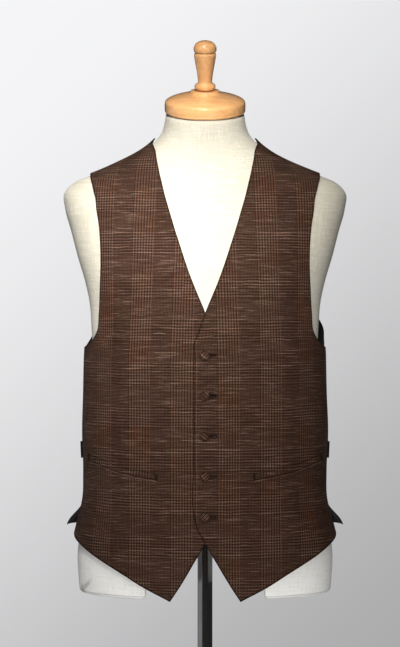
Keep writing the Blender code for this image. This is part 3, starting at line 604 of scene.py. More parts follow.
def back_places(columns, low_rows, middle_rows, top_rows):
    """(angle, z) grid of a back, from the centre seam to the side and from hem to shoulder."""
    centre = math.pi - SEAM_GAP / 2 / section(1.2)[2]
    side = SIDE_ANGLE + SEAM_GAP / 2 / section(UNDERARM)[0]
    seam = shoulder_seam(columns, SEAM_GAP / section(1.45)[0])
    left = join(along([(centre, BACK_HEM), (centre, BACK_LEVEL)], low_rows),
                along([(centre, BACK_LEVEL), (centre, BACK_NECK)], middle_rows),
                along(np.vstack([(centre, BACK_NECK), BACK_NECK_LINE, seam[0]]), top_rows))
    right = join(along([(side, BACK_CORNER), (side, UNDERARM)], low_rows),
                 along(np.vstack([(side, UNDERARM), at_angles(BACK_ARMHOLE, True), seam[-1]]),
                       middle_rows + top_rows - 1))
    return spread(left, right, along([(centre, BACK_HEM), (side, BACK_CORNER)], columns), seam)


def back_relief(angle, z, side):
    """How far a back lies off its cut: folds drawn in by the strap, a loose vent corner.

    Upright folds, cos of the arc from the centre back, fade out above and below the
    strap; beside the armhole the cloth sinks towards the form, but the wearer's left one
    gapes a little under the arm; below the vent's top it stands out towards the side.
    """
    fold_depth, fold_pitch, fold_reach, waver_depth = 0.0034, 0.036, 0.085, 0.0011
    gape_depth, gape_height, gape_reach, flare_top = 0.0085, 1.198, 0.024, VENT_TOP + 0.012
    arc = (math.pi - angle) * BACK_RADIUS
    inward, over_strap, off_seam = angle - SIDE_ANGLE, z - STRAP_HEIGHT, ramp(arc / 0.02)
    wave = 0.5 - 0.5 * np.cos(2 * math.pi * arc / fold_pitch + 1.5 * np.sin(19.0 * z + side))
    folds = -fold_depth * wave * bell(over_strap / fold_reach) * ramp(inward / 0.5) * off_seam
    broad = waver_depth * np.sin(26.0 * arc + 9.0 * z + 2.0 * side) * np.sin(14.0 * z + 0.6)
    broad = (broad * ramp((1.33 - z) / 0.08) * ramp(inward / 0.3)
             * (1.0 - bell(over_strap / 0.022)) * off_seam)
    hole_x, hole_z = np.transpose(BACK_ARMHOLE)
    off_hole = np.abs(angle - panel_angle(np.interp(z, hole_z, hole_x), z, True))
    near = (ramp(1.0 - off_hole / 0.3) * ramp((z - UNDERARM) / 0.03) * ramp((1.36 - z) / 0.06))
    if side > 0:
        gape = (bell((z - gape_height) / gape_reach) * ramp((z - UNDERARM) / 0.012)
                * ramp(1.0 - off_hole / 0.8))
        near = near * (1.0 - gape)
        broad = broad + gape_depth * gape
    sunk = near * 0.8 * np.clip(np.interp(z, RING.height, RING.ease_side) - 0.0022, 0.0, None)
    down = ramp((flare_top - z) / (flare_top - BACK_CORNER))
    flare = VENT_FLARE * down * ramp(1.0 - np.abs(inward) / FLARE_REACH)
    return folds + broad - sunk + flare


def set_maps(mesh, chart, rim):
    """Store each point's place on the cloth and distance from its edge as two maps."""
    corner = np.empty(len(mesh.loops), np.int32)
    mesh.loops.foreach_get("vertex_index", corner)
    for name, value in (("chart", chart), ("rim", np.reshape(rim, (-1, 1)) * (1.0, 0.0))):
        layer = mesh.uv_layers.new(name=name)
        layer.data.foreach_set("uv", value.reshape(-1, 2)[corner].astype(np.float32).ravel())


def rim_distance(points):
    """Distance of each point of a grid from the grid's outline, in metres."""
    edge = np.concatenate([points[0], points[-1], points[:, 0], points[:, -1]])[::2]
    flat = points.reshape(-1, 3)
    nearest = [np.sqrt(((flat[k:k + 3000, None] - edge[None]) ** 2).sum(-1).min(1))
               for k in range(0, len(flat), 3000)]
    distance = np.concatenate(nearest).reshape(points.shape[:2])
    distance[0], distance[-1], distance[:, 0], distance[:, -1] = 0.0, 0.0, 0.0, 0.0
    return distance


def cloth_panel(name, inner, chart, rim, side, wall, rounding):
    """Panel with its wall outwards and its edges rounded: the grid is its inner face."""
    points = inner * (side, 1.0, 1.0)
    faces = quads(*inner.shape[:2])
    mesh = new_mesh(name, points, [faces if side > 0 else faces[:, ::-1]])
    set_maps(mesh, chart, rim)
    made = new_object(name, mesh)
    modify(made, "SOLIDIFY", thickness=wall, offset=1.0)
    modify(made, "BEVEL", width=rounding, segments=2, limit_method="ANGLE",
           angle_limit=math.radians(50), use_clamp_overlap=False)
    return settle(made)


def mark_inside(mesh):
    """Second number of the rim map: 1 on the faces that are turned towards the form."""
    centre, normal = np.empty((2, len(mesh.polygons) * 3), np.float32)
    mesh.polygons.foreach_get("center", centre)
    mesh.polygons.foreach_get("normal", normal)
    sides = np.empty(len(mesh.polygons), np.int32)
    mesh.polygons.foreach_get("loop_total", sides)
    inside = (centre * normal).reshape(-1, 3)[:, :2].sum(1) < 0.0
    layer = mesh.uv_layers["rim"].data
    flat = np.empty(len(layer) * 2, np.float32)
    layer.foreach_get("uv", flat)
    flat[1::2] = np.repeat(inside, sides)
    layer.foreach_set("uv", flat)


def own_map(tree, name):
    """Wire of the piece's own map of that name."""
    return add_node(tree, "UVMap", 0, {"uv_map": name})


def make_satin():
    """Black lining satin: long floats along the warp, a soft gloss, faint thick picks.

    The inside, where the rim map's second number is 1, is dull lining.
    """
    made, tree, shader = new_material(
        "black_satin", Specular_IOR_Level=0.26, Anisotropic=0.75, Sheen_Weight=0.05,
        Sheen_Roughness=0.4, Sheen_Tint=(0.6, 0.6, 0.7, 1))
    chart = own_map(tree, "chart")
    grain = add_node(tree, "Tangent", 0, {"direction_type": "UV_MAP", "uv_map": "chart"})
    grain.into(shader.inputs["Tangent"])
    floats = chart.noise(4200.0, 260.0, 1.0, detail=1.0)
    picks = chart.noise(24.0, 1500.0, 1.0)
    crush = chart.noise(30.0, 8.0, 1.0, detail=4.0, roughness=0.6)
    edge, lining, _ = own_map(tree, "rim").split()
    inside = lining.ramp(0.4, 0.6)
    colour = picks.ramp(0.3, 0.75).mix((0.005, 0.0046, 0.0056, 1), (0.0105, 0.0098, 0.0112, 1))
    colour = inside.mix(colour, (0.003, 0.0028, 0.003, 1))
    height = floats * 0.25 + crush * 3.0 + edge.ramp(0.0075, 0.01, 0.5, 0.0)
    rough = inside * 0.5 + floats.ramp(0.3, 0.7, 0.32, 0.46)
    plug(shader, colour, height, 0.0004, rough, 0.6)
    return made


black_satin = make_satin()


def make_backs():
    """Both halves of the back."""
    places = back_places(columns=90, low_rows=70, middle_rows=42, top_rows=42)[::-1]
    angle, z = np.moveaxis(places, -1, 0)
    chart = np.stack([(math.pi - angle) * BACK_RADIUS, z], -1)
    for side, word in SIDES:
        lift = back_relief(angle, z, side)[..., None]
        inner = surface(angle, z) + outward(angle, z) * lift
        made = cloth_panel("back_%s_satin" % word, inner, chart, rim_distance(inner), side,
                           BACK_WALL, rounding=0.0004)
        mark_inside(made.data)
        finish_piece(made, black_satin, "satin", "back_%s" % word)


make_backs()


# ---------------------------------------------------------------- cinch strap and slide
# A satin strap in two halves, each caught in a side seam.  One half is sewn round a bar
# of the three-bar wire slide; the other runs through it and can be drawn in.

STRAP_WIDTH, STRAP_WALL, STRAP_START, STRAP_ROOT_RISE = 0.0255, 0.001, math.radians(94.5), 0.0042
SLIDE_WIRE, SLIDE_HALF, SLIDE_HEIGHT, SLIDE_RISE, SLIDE_CORNER = 0.0009, 0.011, 0.031, 0.0031, 0.0018


def strap_table():
    """Angles across the back at the strap's height, and their arc from the centre back."""
    angles = np.linspace(math.pi, math.radians(80.0), 400)
    return angles, walked(surface(angles, STRAP_HEIGHT)[:, :2])


def strap_band(name, path, side, node):
    """Half of the strap: a path of (arc, rise over the back), round which a flat section goes.

    The section is STRAP_WIDTH tall and STRAP_WALL thick, square to the path, with
    rounded edges and a shallow stitch line 2 mm inside each edge.
    """
    path = np.asarray(path, float)
    knots = walked(path)
    at = np.linspace(0.0, knots[-1], int(knots[-1] / 0.001))
    line = np.stack([smooth(at, knots, path[:, k]) for k in (0, 1)], -1)
    run = unit(np.gradient(line, axis=0))
    square = np.stack([-run[:, 1], run[:, 0]], -1)
    drop = np.array([-0.5, -0.488, -0.44, -0.42, -0.4, 0.0, 0.4, 0.42, 0.44, 0.488])
    face = np.array([0.0, 1.0, 1.0, 0.7, 1.0, 1.0, 1.0, 0.7, 1.0, 1.0])
    drop = np.r_[drop, -drop] * STRAP_WIDTH
    face = np.r_[face, -face] * STRAP_WALL / 2
    arc, rise = np.moveaxis(line[:, None] + face[:, None] * square[:, None], -1, 0)
    angles, arcs = strap_table()
    angle = np.interp(np.abs(arc), arcs, angles)
    angle = np.where(arc < 0, 2 * math.pi - angle, angle)
    z = np.broadcast_to(STRAP_HEIGHT + drop, arc.shape)
    points = surface(angle, z) + outward(angle, z) * (BACK_WALL + rise)[..., None]
    ring = np.arange(len(drop))
    made = solid(name, points * (side, 1.0, 1.0),
                 [quads(len(line), len(drop), ringed=True), ring,
                  ring[::-1] + (len(line) - 1) * len(drop)])
    chart = np.stack([z, np.broadcast_to(at[:, None], arc.shape)], -1)
    set_maps(made.data, chart, np.full(arc.shape, 0.02))
    finish_piece(made, black_satin, "satin", node)


def make_strap():
    """Both halves of the strap, threaded through the slide."""
    angles, arcs = strap_table()
    root = float(np.interp(-STRAP_START, -angles, arcs))
    half, fold = STRAP_WALL / 2, SLIDE_HALF
    low = SEAT_GAP + half
    edge_rise = SLIDE_RISE + (surface(math.pi, STRAP_HEIGHT)[1]
                              - surface(np.interp(fold, arcs, angles), STRAP_HEIGHT)[1])
    bend = SLIDE_WIRE + SEAT_GAP + half + 0.0002
    over = edge_rise + bend
    under = SLIDE_RISE - SLIDE_WIRE - SEAT_GAP - half

    def flat_run(start, stop, rise):
        """Straight stretch of path with a point about every 7 mm."""
        return [(arc, rise) for arc in np.linspace(start, stop, int(abs(stop - start) / 0.007))]

    ends = [(root, low + STRAP_ROOT_RISE), (root - 0.006, low + STRAP_ROOT_RISE * 0.7)]
    wrap = [(fold + bend * math.sin(math.radians(turn)),
             edge_rise - bend * math.cos(math.radians(turn))) for turn in range(0, -181, -18)]
    strap_band("strap_sewn", ends + flat_run(root - 0.016, fold + 0.006, low) + wrap
               + [(fold + 0.004, over - 0.0007), (fold + 0.009, low + STRAP_WALL + SEAT_GAP),
                  (fold + 0.02, low + STRAP_WALL + SEAT_GAP)], 1, "back_strap_left")
    lap = over + STRAP_WALL + SEAT_GAP
    rest = low + 2 * (STRAP_WALL + SEAT_GAP)
    strap_band("strap_loose", ends + flat_run(root - 0.016, fold + 0.01, low)
               + [(fold + 0.005, 0.6 * over), (fold, over), (fold - 0.003, 0.85 * over),
                  (0.003, under + 0.0003), (0.0, under), (-0.003, under + 0.0006),
                  (-fold + 0.0045, 0.75 * lap), (-fold, lap), (-fold - 0.006, 0.93 * lap),
                  (-fold - 0.012, rest + 0.0004), (-fold - 0.02, rest)]
               + flat_run(-fold - 0.028, -fold - 0.06, rest - STRAP_WALL),
               -1, "back_strap_right")


def facing(point, normal):
    """Matrix at a point of the cloth: X across, Y up the cloth, Z along the normal."""
    normal = Vector(normal)
    across = Vector((0.0, 0.0, 1.0)).cross(normal).normalized()
    turn = Matrix((across, normal.cross(across), normal)).transposed().to_4x4()
    return Matrix.Translation(point) @ turn


def make_slide():
    """Three-bar slide: round wire bent to a frame, with a straight bar across its middle."""
    quarter = np.radians(np.arange(0, 91, 15))
    corner = np.array([SLIDE_HALF - SLIDE_CORNER, SLIDE_HEIGHT / 2 - SLIDE_CORNER])
    outline = np.concatenate([
        corner * signs + SLIDE_CORNER * polar(k * math.pi / 2 + quarter)
        for k, signs in enumerate([(1, 1), (-1, 1), (-1, -1), (1, -1)])])
    run = unit(np.roll(outline, -1, axis=0) - np.roll(outline, 1, axis=0))
    out = np.stack([run[:, 1], -run[:, 0]], -1)
    wire_ring = circle(SLIDE_WIRE, 16)
    flat = outline[:, None] + out[:, None] * wire_ring[:, :1]
    rise = np.broadcast_to(wire_ring[:, 1:], flat.shape[:2] + (1,))
    normal = outward(math.pi, STRAP_HEIGHT)
    place = facing(surface(math.pi, STRAP_HEIGHT) + normal * (BACK_WALL + SLIDE_RISE), normal)
    slide = solid("slide_wire", np.concatenate([flat, rise], -1),
                  [quads(len(outline), len(wire_ring), closed=True, ringed=True)], place)
    bar = prism("bar", wire_ring, -SLIDE_HEIGHT / 2, SLIDE_HEIGHT / 2,
                place @ Matrix.Rotation(math.radians(-90), 4, "X"))
    finish_piece(combine(slide, bar, "UNION"), dark_chrome, "steel", "strap_buckle")


make_strap()
make_slide()


# ---------------------------------------------------------------- the two fronts
# Each front is suiting over canvas, turned in along its edges.  The wearer's left front
# laps over the right one.  The cloth is a 2/2 twill: bands of four dark and four light
# yarns alternate with bands of two and two, both ways, which makes the glen check.

FRONT_WALL, LAP_GAP, LAP_END, LAP_RAMP = 0.002, 0.0007, 0.024, 0.04
FRONT_CORNER = 0.892
YARN_PITCH = 0.000517

# Outline of a front as (x, z), x from the centre front towards its own side.
FRONT_EDGE = [
    (0.0513, 0.8008), (0.035, 0.8255), (0.0165, 0.857), (0.0, 0.885), (-0.0125, 0.908),
    (-0.0175, 0.93), (-0.0175, 1.0), (-0.0175, 1.09), (-0.0175, 1.1745)]
NECK_EDGE = [
    (-0.0175, 1.1745), (0.0, 1.222), (0.019, 1.268), (0.0387, 1.326), (0.0566, 1.385),
    (0.066, 1.422), (0.0722, 1.454)]
FRONT_HEM = [(0.0513, 0.8008), (0.09, 0.8205), (0.125, 0.841), (0.159, 0.86), (0.183, 0.875)]
ARMHOLE = [
    (0.17, 1.179), (0.1612, 1.195), (0.1575, 1.22), (0.1545, 1.255), (0.153, 1.3), (0.155, 1.34),
    (0.1595, 1.37), (0.165, 1.402), (0.1685, 1.415), (0.1712, 1.424), (0.1722, 1.4285)]
BUTTONS = [1.16, 1.101, 1.042, 0.983, 0.924]
BUTTON_X = -0.001

# Soft dents and swells of a front, also beside and between the buttons.
Swell = namedtuple("Swell", "height x z reach_x reach_z")
SWELLS = [Swell(-0.0016, 0.13, 1.195, 0.022, 0.045), Swell(-0.0014, 0.118, 0.935, 0.03, 0.035),
          Swell(0.001, 0.075, 1.215, 0.045, 0.05)]
SWELLS += [Swell(-0.0005, 0.004, z, 0.02, 0.012) for z in BUTTONS]
SWELLS += [Swell(0.0004, 0.01, z - 0.0295, 0.022, 0.014) for z in BUTTONS]

# Each buttonhole is a slot with round ends; its ends lie so far from its button's middle.
SLOT_HALF, SLOT_START, SLOT_END = 0.0013, -0.0015, 0.0165


def front_places(columns, lower_rows, top_rows):
    """(angle, z) grid of a front, from its edge to the side and from hem to shoulder."""
    side = SIDE_ANGLE - SEAM_GAP / 2 / section(UNDERARM)[0]
    seam = shoulder_seam(columns, 0.0)
    left = join(along(at_angles(FRONT_EDGE), lower_rows),
                along(np.vstack([at_angles(NECK_EDGE), seam[0]]), top_rows))
    right = join(along([(side, FRONT_CORNER), (side, UNDERARM)], lower_rows),
                 along(np.vstack([(side, UNDERARM), at_angles(ARMHOLE), seam[-1]]), top_rows))
    hem = np.vstack([at_angles(FRONT_HEM), (side, FRONT_CORNER)])
    return spread(left, right, along(hem, columns), seam)


def front_relief(x, z, side):
    """How far a front lies off its cut: it turns more sharply at the side and is soft.

    Sum of a swell and a dent down the side, each swell as a bell of the distance from its
    middle over its reach, a slanting crease under the arm, and a slow waver.
    """
    hem_end, chest_end, swell_x, dent_x, crease_x, crease_z = 0.86, 1.25, 0.112, 0.155, 0.145, 1.19
    tall = ramp((z - hem_end) / 0.1) * ramp((chest_end - z) / 0.08)
    relief = (0.0018 * bell((x - swell_x) / 0.026) - 0.0034 * bell((x - dent_x) / 0.02)) * tall
    for swell in SWELLS:
        relief += swell.height * bell((x - swell.x) / swell.reach_x, (z - swell.z) / swell.reach_z)
    slope = (x - crease_x) * 0.42 + (z - crease_z) * 0.91
    relief -= 0.001 * bell(slope / 0.006, (x - crease_x) / 0.022)
    relief += 0.0009 * bell((slope + 0.013) / 0.008, (x - crease_x + 0.005) / 0.026)
    waver = (np.sin(31 * x + 17 * z + 1.3 * side) * np.sin(23 * z - 11 * x + 0.7)
             + 0.6 * np.sin(64 * x - 29 * z + 2.1 * side))
    return relief + 0.0003 * waver


def lap_lift(x):
    """How far the over front is lifted off the garment surface at x."""
    return (FRONT_WALL + LAP_GAP) * (1.0 - ramp((x - LAP_END) / (LAP_RAMP - LAP_END)))


def front_inner(angle, z, side):
    """Inner face of the wearer's left (1) or right (-1) front, not yet mirrored; its normal."""
    place, normal = surface(angle, z), outward(angle, z)
    lift = front_relief(place[..., 0], z, side)
    if side > 0:
        lift = lift + lap_lift(place[..., 0])
    return place + normal * lift[..., None], normal


def cloth_chart(angle, z, side):
    """Place on the flat cloth: round from the front along the weft, up along the warp.

    Across is the arc of the section from the centre front; up is the length of the
    front's profile from the middle of a check, with the picks set a little wider than
    the ends.  Above the chest the warp leans to the neck.  Both are shifted so that the
    bands of four fall in their places.
    """
    profile, check_middle, picks_per_end, half_band = math.radians(28), 1.0056, 0.9785, 32
    chest, lean_slope = 1.15, 0.035
    share = np.linspace(0.0, 1.0, 25).reshape((25,) + (1,) * np.ndim(angle))
    walk = surface(share * angle, z + 0.0 * share)[..., :2]
    arc = np.linalg.norm(np.diff(walk, axis=0), axis=-1).sum(0) * np.sign(angle)
    heights = np.linspace(0.78, 1.5, 400)
    length = walked(surface(profile, heights))
    up = np.interp(z, heights, length) - np.interp(check_middle, heights, length)
    lean = lean_slope * np.clip(z - chest, 0.0, None)
    shift = -0.0175 if side > 0 else -0.0105
    return np.stack([side * (arc + lean) + shift, up * picks_per_end + half_band * YARN_PITCH], -1)


def front_point(x, z, lift, side=1):
    """World points on a front at (x, z), lifted off its inner face; x towards its own side."""
    inner, normal = front_inner(panel_angle(x, z), z, side)
    return (inner + normal * np.asarray(lift)[..., None]) * (side, 1.0, 1.0)


def button_frame(height):
    """Matrix at a button's place on the over front."""
    return facing(*front_inner(panel_angle(BUTTON_X, height), np.asarray(height), 1))


def make_check():
    """Group: glen check in 2/2 twill from a place on the cloth, in metres.

    Yarn number = floor(place / pitch).  In each repeat of 120 yarns the first 64 run four
    dark, four light; the rest two and two.  Warp is on top where (warp number + weft
    number) mod 4 < 2.  Slub is noise stretched along each pick and along each pair.
    """
    group, (chart, pitch), out = new_group(
        "glen_check", {"Chart": "Vector", "Pitch": "Float"},
        ["Light", "Band", "Warp on top", "Height", "Slub", "Cross"])
    x, y, _ = chart.split()
    # Yarns wander: noise is 0.5 on average, and half of each reach is taken off again.
    up = (y + chart.noise(16.0, 34.0, 1.0) * 0.004
          + chart.noise(70.0, 90.0, 1.0, detail=1.0) * 0.0012 - 0.0031)
    across = x + chart.noise(30.0, 9.0, 1.0, detail=1.0) * 0.0016 - 0.0008

    def yarns(place):
        """Number of the yarn there, whether it is light, whether it is in a wide band, its crown."""
        number = place / pitch
        whole = number.math("FLOOR")
        repeat = whole % 120.0
        wide = repeat < 63.5
        light = wide * (repeat % 8.0 > 3.5) + (1.0 - wide) * (repeat % 4.0 > 1.5)
        return whole, light, wide, ((number - whole) * math.pi).math("SINE")

    warp, warp_light, warp_band, warp_crown = yarns(across)
    weft, weft_light, weft_band, weft_crown = yarns(up)
    on_top = (warp + weft) % 4.0 < 1.5

    def pick(of_warp, of_weft):
        """The one of the two that lies on top."""
        return on_top * of_warp + (1.0 - on_top) * of_weft

    def along_threads(count, step, scale):
        """Noise drawn out along each group of so many picks, with a new place for each group."""
        placed = add_node(group, "CombineXYZ", X=across, Y=(weft / count).math("FLOOR") * step)
        return placed.noise(scale, 1.0, 1.0, roughness=0.65)

    pairs, single = along_threads(2.0, 7.31, 22.0), along_threads(1.0, 3.17, 34.0)
    for label, value in (("Light", pick(warp_light, weft_light)),
                         ("Band", pick(warp_band, weft_band)), ("Cross", warp_band * weft_band),
                         ("Warp on top", on_top), ("Height", pick(warp_crown, weft_crown)),
                         ("Slub", pairs * 0.6 + single * 0.4)):
        value.into(out[label])
    return group


glen_check = make_check()


def make_suiting():
    """Brown wool and silk suiting: the check, thick weft slubs, rusty light warp, soft nap.

    The rim map holds the distance from a panel's edge: painted shade darkens the turned edge,
    and the seam allowance under it shows as a faint step.  A rim below zero is a pressed fold, lit by
    a painted highlight.
    """
    made, tree, shader = new_material("suiting", Roughness=0.55, Specular_IOR_Level=0.15,
                                      Specular_Tint=(1.0, 0.66, 0.47, 1))
    chart = own_map(tree, "chart")
    is_light, band, on_top, height, slub, cross = add_node(
        tree, "Group", None, {"node_tree": glen_check}, Chart=chart, Pitch=YARN_PITCH)
    edge, _, _ = own_map(tree, "rim").split()
    patch = chart.noise(9.0, 14.0, 1.0, detail=3.0, roughness=0.6)
    dark = patch.ramp(0.3, 0.7).mix((0.0026, 0.0012, 0.0008, 1), (0.0046, 0.0021, 0.0014, 1))
    rusty = patch.ramp(0.45, 0.62).mix((0.072, 0.036, 0.023, 1), (0.094, 0.037, 0.017, 1))
    light_warp = band.mix((0.052, 0.026, 0.017, 1), rusty)
    light_weft = patch.ramp(0.35, 0.65).mix((0.086, 0.047, 0.033, 1), (0.062, 0.031, 0.02, 1))
    light = on_top.mix(light_weft, light_warp)
    light = (cross * 0.25).mix(light, (0.125, 0.077, 0.054, 1))
    light = slub.ramp(0.34, 0.49, 0.45, 0.0).mix(light, (0.012, 0.006, 0.004, 1))
    light = slub.ramp(0.51, 0.66).mix(light, (0.19, 0.12, 0.084, 1))
    colour = is_light.mix(dark, light)
    colour = slub.ramp(0.6, 0.72, 0.0, 0.45).mix(colour, (0.11, 0.067, 0.047, 1))
    # Painted shade: the cloth darkens within about 4 mm of each panel's edge, round the low rims of
    # the buttons and in lines on the welts.
    colour = edge.ramp(0.001, 0.0042, 0.92, 0.0).mix(colour, (0.004, 0.002, 0.0015, 1))
    # Painted highlight where the rim is below zero: a light line along the welts' lower fold, broken
    # by the slubs.
    fold = edge.ramp(-0.001, -0.0003, 0.8, 0.0) * slub.ramp(0.42, 0.6, 0.3, 1.0)
    colour = fold.mix(colour, (0.15, 0.088, 0.06, 1))
    height = height + slub * 1.6 + edge.ramp(0.0075, 0.0105, 0.8, 0.0)
    plug(shader, colour, height, 0.00022, strength=0.25)
    return made


suiting = make_suiting()


def make_fronts():
    """Both fronts; the over one is cut with a slot for each button."""
    angle, z = np.moveaxis(front_places(columns=120, lower_rows=110, top_rows=95), -1, 0)
    bend = SLOT_HALF * polar(np.linspace(-math.pi / 2, math.pi / 2, 12))
    slot = np.concatenate([bend + (SLOT_END, 0.0), (SLOT_START, 0.0) - bend])
    for side, word in SIDES[::-1]:
        inner, _ = front_inner(angle, z, side)
        # The rim map from rim_distance is what the suiting uses for painted shade along each front's
        # edges.
        made = cloth_panel("front_%s_cloth" % word, inner, cloth_chart(angle, z, side),
                           rim_distance(inner), side, FRONT_WALL, rounding=0.0007)
        if side > 0:
            for height in BUTTONS:
                combine(made, prism("slot", slot, -0.0008, 0.005, button_frame(height)))
        finish_piece(made, suiting, "suiting", "front_%s" % word)


make_fronts()


# ---------------------------------------------------------------- pocket welts
# A narrow folded strip of the same cloth, cut to match the front under it, with a
# stitched ditch below its fold and a bar of thread at each end.  Its rim map paints light
# into the suiting: a painted highlight along its lower edge, a painted shade line a little
# above that, and painted shade along its top edge and at its ends.

WELT_EDGE = [(0.07, 0.9745), (0.124, 0.9845), (0.173, 0.9985)]
WELT_HEIGHT, WELT_WALL = 0.012, 0.0016


def make_thread():
    """Dark brown twisted buttonhole thread."""
    made, tree, shader = new_material("buttonhole_thread", Roughness=0.6, Specular_IOR_Level=0.2)
    twist = add_node(tree, "TexCoord", "Object").noise(2600.0, 2600.0, 2600.0, detail=1.0)
    colour = twist.mix((0.008, 0.0048, 0.0036, 1), (0.026, 0.015, 0.0105, 1))
    plug(shader, colour, twist, 0.0001)
    return made


thread = make_thread()


def thread_bars(name, start, top, end, radius):
    """Short threads, each bent from its start over its top to its end.

    Centre line (1-t)^2 start + 2t(1-t) top + t^2 end; round section, thinner at the ends.
    """
    reach = radius * np.array([0.55, 0.95, 1.0, 1.0, 0.95, 0.55])[None, :, None, None]
    sections, sides = reach.size, 6
    t = np.linspace(0.0, 1.0, sections)[None, :, None]
    line = (1 - t) ** 2 * start[:, None] + 2 * t * (1 - t) * top[:, None] + t ** 2 * end[:, None]
    run = unit(np.gradient(line, axis=1))
    lift = (top - (start + end) / 2)[:, None]
    lift = unit(lift - run * (lift * run).sum(-1, keepdims=True))
    turn = full_turn(sides)[None, None, :, None]
    points = line[:, :, None] + reach * (np.cos(turn) * lift[:, :, None]
                                         + np.sin(turn) * np.cross(run, lift)[:, :, None])
    index = np.arange(len(start) * sections * sides).reshape(-1, sections, sides)
    sheath = index[:, :1, :1] + quads(sections, sides, ringed=True)
    made = solid(name, points, [sheath.reshape(-1, 4), index[:, 0], index[:, -1, ::-1]])
    return finish_piece(made, thread, "suiting")


def make_welts():
    """Both welts, each on its front, and the tacks that hold their ends."""
    soft_edge, tack_pitch = 0.0006, 0.0008
    low = along(WELT_EDGE, 110)
    rise = np.linspace(0.0, WELT_HEIGHT, 13)
    x = low[:, :1] + 0.0 * rise
    z = low[:, 1:] + rise
    angle = panel_angle(x, z)
    fold = np.interp(rise, [0.0, 0.0015, 0.0085, 0.0098, 0.0108, 0.012],
                     [-0.0001, 0.0001, 0.0002, -0.0001, 0.0003, 0.0002])
    fold = fold + 0.0001 * np.sin(90 * x)
    # The rim numbers paint light: below zero a painted highlight on the lower 2 mm, a painted shade
    # line from about 3 mm up, and painted shade along the top edge and at both ends.
    rim = np.interp(rise, [0.0, 0.0019, 0.0025, 0.0032, 0.005, 0.01, 0.012],
                    [-0.001, -0.001, -0.0003, 0.0022, 0.0045, 0.0045, 0.0018])
    ends = np.minimum(low[:, 0] - low[0, 0], low[-1, 0] - low[:, 0])[:, None]
    rim = np.where(rim[None] < 0, rim[None], np.minimum(rim[None], ends))
    for side, word in SIDES:
        inner = front_point(x, z, FRONT_WALL + SEAT_GAP + fold, side) * (side, 1.0, 1.0)
        made = cloth_panel("welt_%s_cloth" % word, inner, cloth_chart(angle, z, side), rim, side,
                           WELT_WALL - soft_edge, rounding=0.0004)
        finish_piece(made, suiting, "suiting", "pocket_welt_%s" % word)
        step = np.arange(0.0007, WELT_HEIGHT, tack_pitch)
        tack_x = np.repeat(low[[0, -1], 0], len(step))
        tack_z = np.r_[low[0, 1] + step, low[-1, 1] + step]
        inward = np.repeat([1.0, -1.0], len(step))
        thread_bars("welt_%s_tacks" % word,
                    front_point(tack_x - 0.0009 * inward, tack_z, FRONT_WALL, side),
                    front_point(tack_x, tack_z, FRONT_WALL + 0.0026, side),
                    front_point(tack_x + 0.0012 * inward, tack_z, FRONT_WALL + 0.0014, side),
                    radius=0.0003)


make_welts()


# ---------------------------------------------------------------- buttons and buttonholes
# Five metal shells covered in the suiting, each with a short shank through a buttonhole
# whipped all round in thread.

BUTTON_RADIUS, BUTTON_RISE, BUTTON_BACK, BUTTON_SEAT = 0.0075, 0.0048, 0.0058, 0.0006
SHANK = 0.001

# Degrees by which the cloth is turned on each cover.
COVER_TURNS = [41.0, 47.0, 38.0, 50.0, 43.0]


def make_buttons():
    """Covered domes: a lathe line once round, with small tucks where the cloth turns under and painted
    shade round the edge.
    """
    rim_rise, tucks, tuck_depth, chart_step = 0.0015, 26, 0.018, np.array([0.0137, 0.0169])
    base = FRONT_WALL + BUTTON_SEAT
    turn = np.radians(np.linspace(-42.0, 84.0, 15))
    reach = np.where(turn < 0, 0.0013, BUTTON_RISE - rim_rise)
    line = np.stack([BUTTON_RADIUS * np.cos(turn) ** np.where(turn < 0, 0.5, 0.9),
                     base + rim_rise + reach * np.sin(turn)], -1)
    line = np.concatenate([[[0.0, -0.0004], [SHANK, -0.0004], [SHANK, base],
                            [BUTTON_BACK * 0.8, base + 0.0001]], line,
                           [[0.0, base + BUTTON_RISE]]])
    for number, (height, heading) in enumerate(zip(BUTTONS, np.radians(COVER_TURNS)), start=1):
        made = turned("button_%d_cloth" % number, line, 96)
        place = np.empty(len(made.data.vertices) * 3)
        made.data.vertices.foreach_get("co", place)
        place = place.reshape(-1, 3)
        spread_out = 1.0 + 0.25 * np.clip(1.0 - (place[:, 2] - base) / BUTTON_RISE, 0.0, 1.0)
        flat = place[:, :2] * spread_out[:, None]
        turned_to = polar(np.array([heading, heading + math.pi / 2]))
        # The rim map is the height over the front: painted shade darkens the low edge of each dome,
        # and the hidden underside and shank fall below zero and take the painted fold highlight.
        set_maps(made.data, flat @ turned_to + chart_step * (number + 1),
                 (place[:, 2] - base - 0.001) * 1.15 + 0.0004)
        around = np.arctan2(place[:, 1], place[:, 0])
        low = bell((place[:, 2] - base - 0.0006) / 0.0008) * (np.hypot(*place.T[:2]) > 0.003)
        place[:, :2] *= (1.0 + tuck_depth * low * np.cos(tucks * around))[:, None]
        made.data.vertices.foreach_set("co", place.ravel())
        made.data.transform(button_frame(height))
        finish_piece(made, suiting, "suiting", "button_%d" % number)


def slot_edge(step):
    """Points and outward directions at lengths along a slot's edge, from its lower corner.

    The direction turns only on the two bends, and their centre moves only on the straights.
    """
    straight, bend = SLOT_END - SLOT_START, math.pi * SLOT_HALF
    turn = np.clip(step - straight, 0.0, bend) + np.clip(step - 2 * straight - bend, 0.0, bend)
    heading = turn / SLOT_HALF - math.pi / 2
    centre = (SLOT_START + np.clip(step, 0.0, straight)
              - np.clip(step - straight - bend, 0.0, straight))
    out = polar(heading)
    return SLOT_HALF * out + centre[:, None] * (1.0, 0.0), out


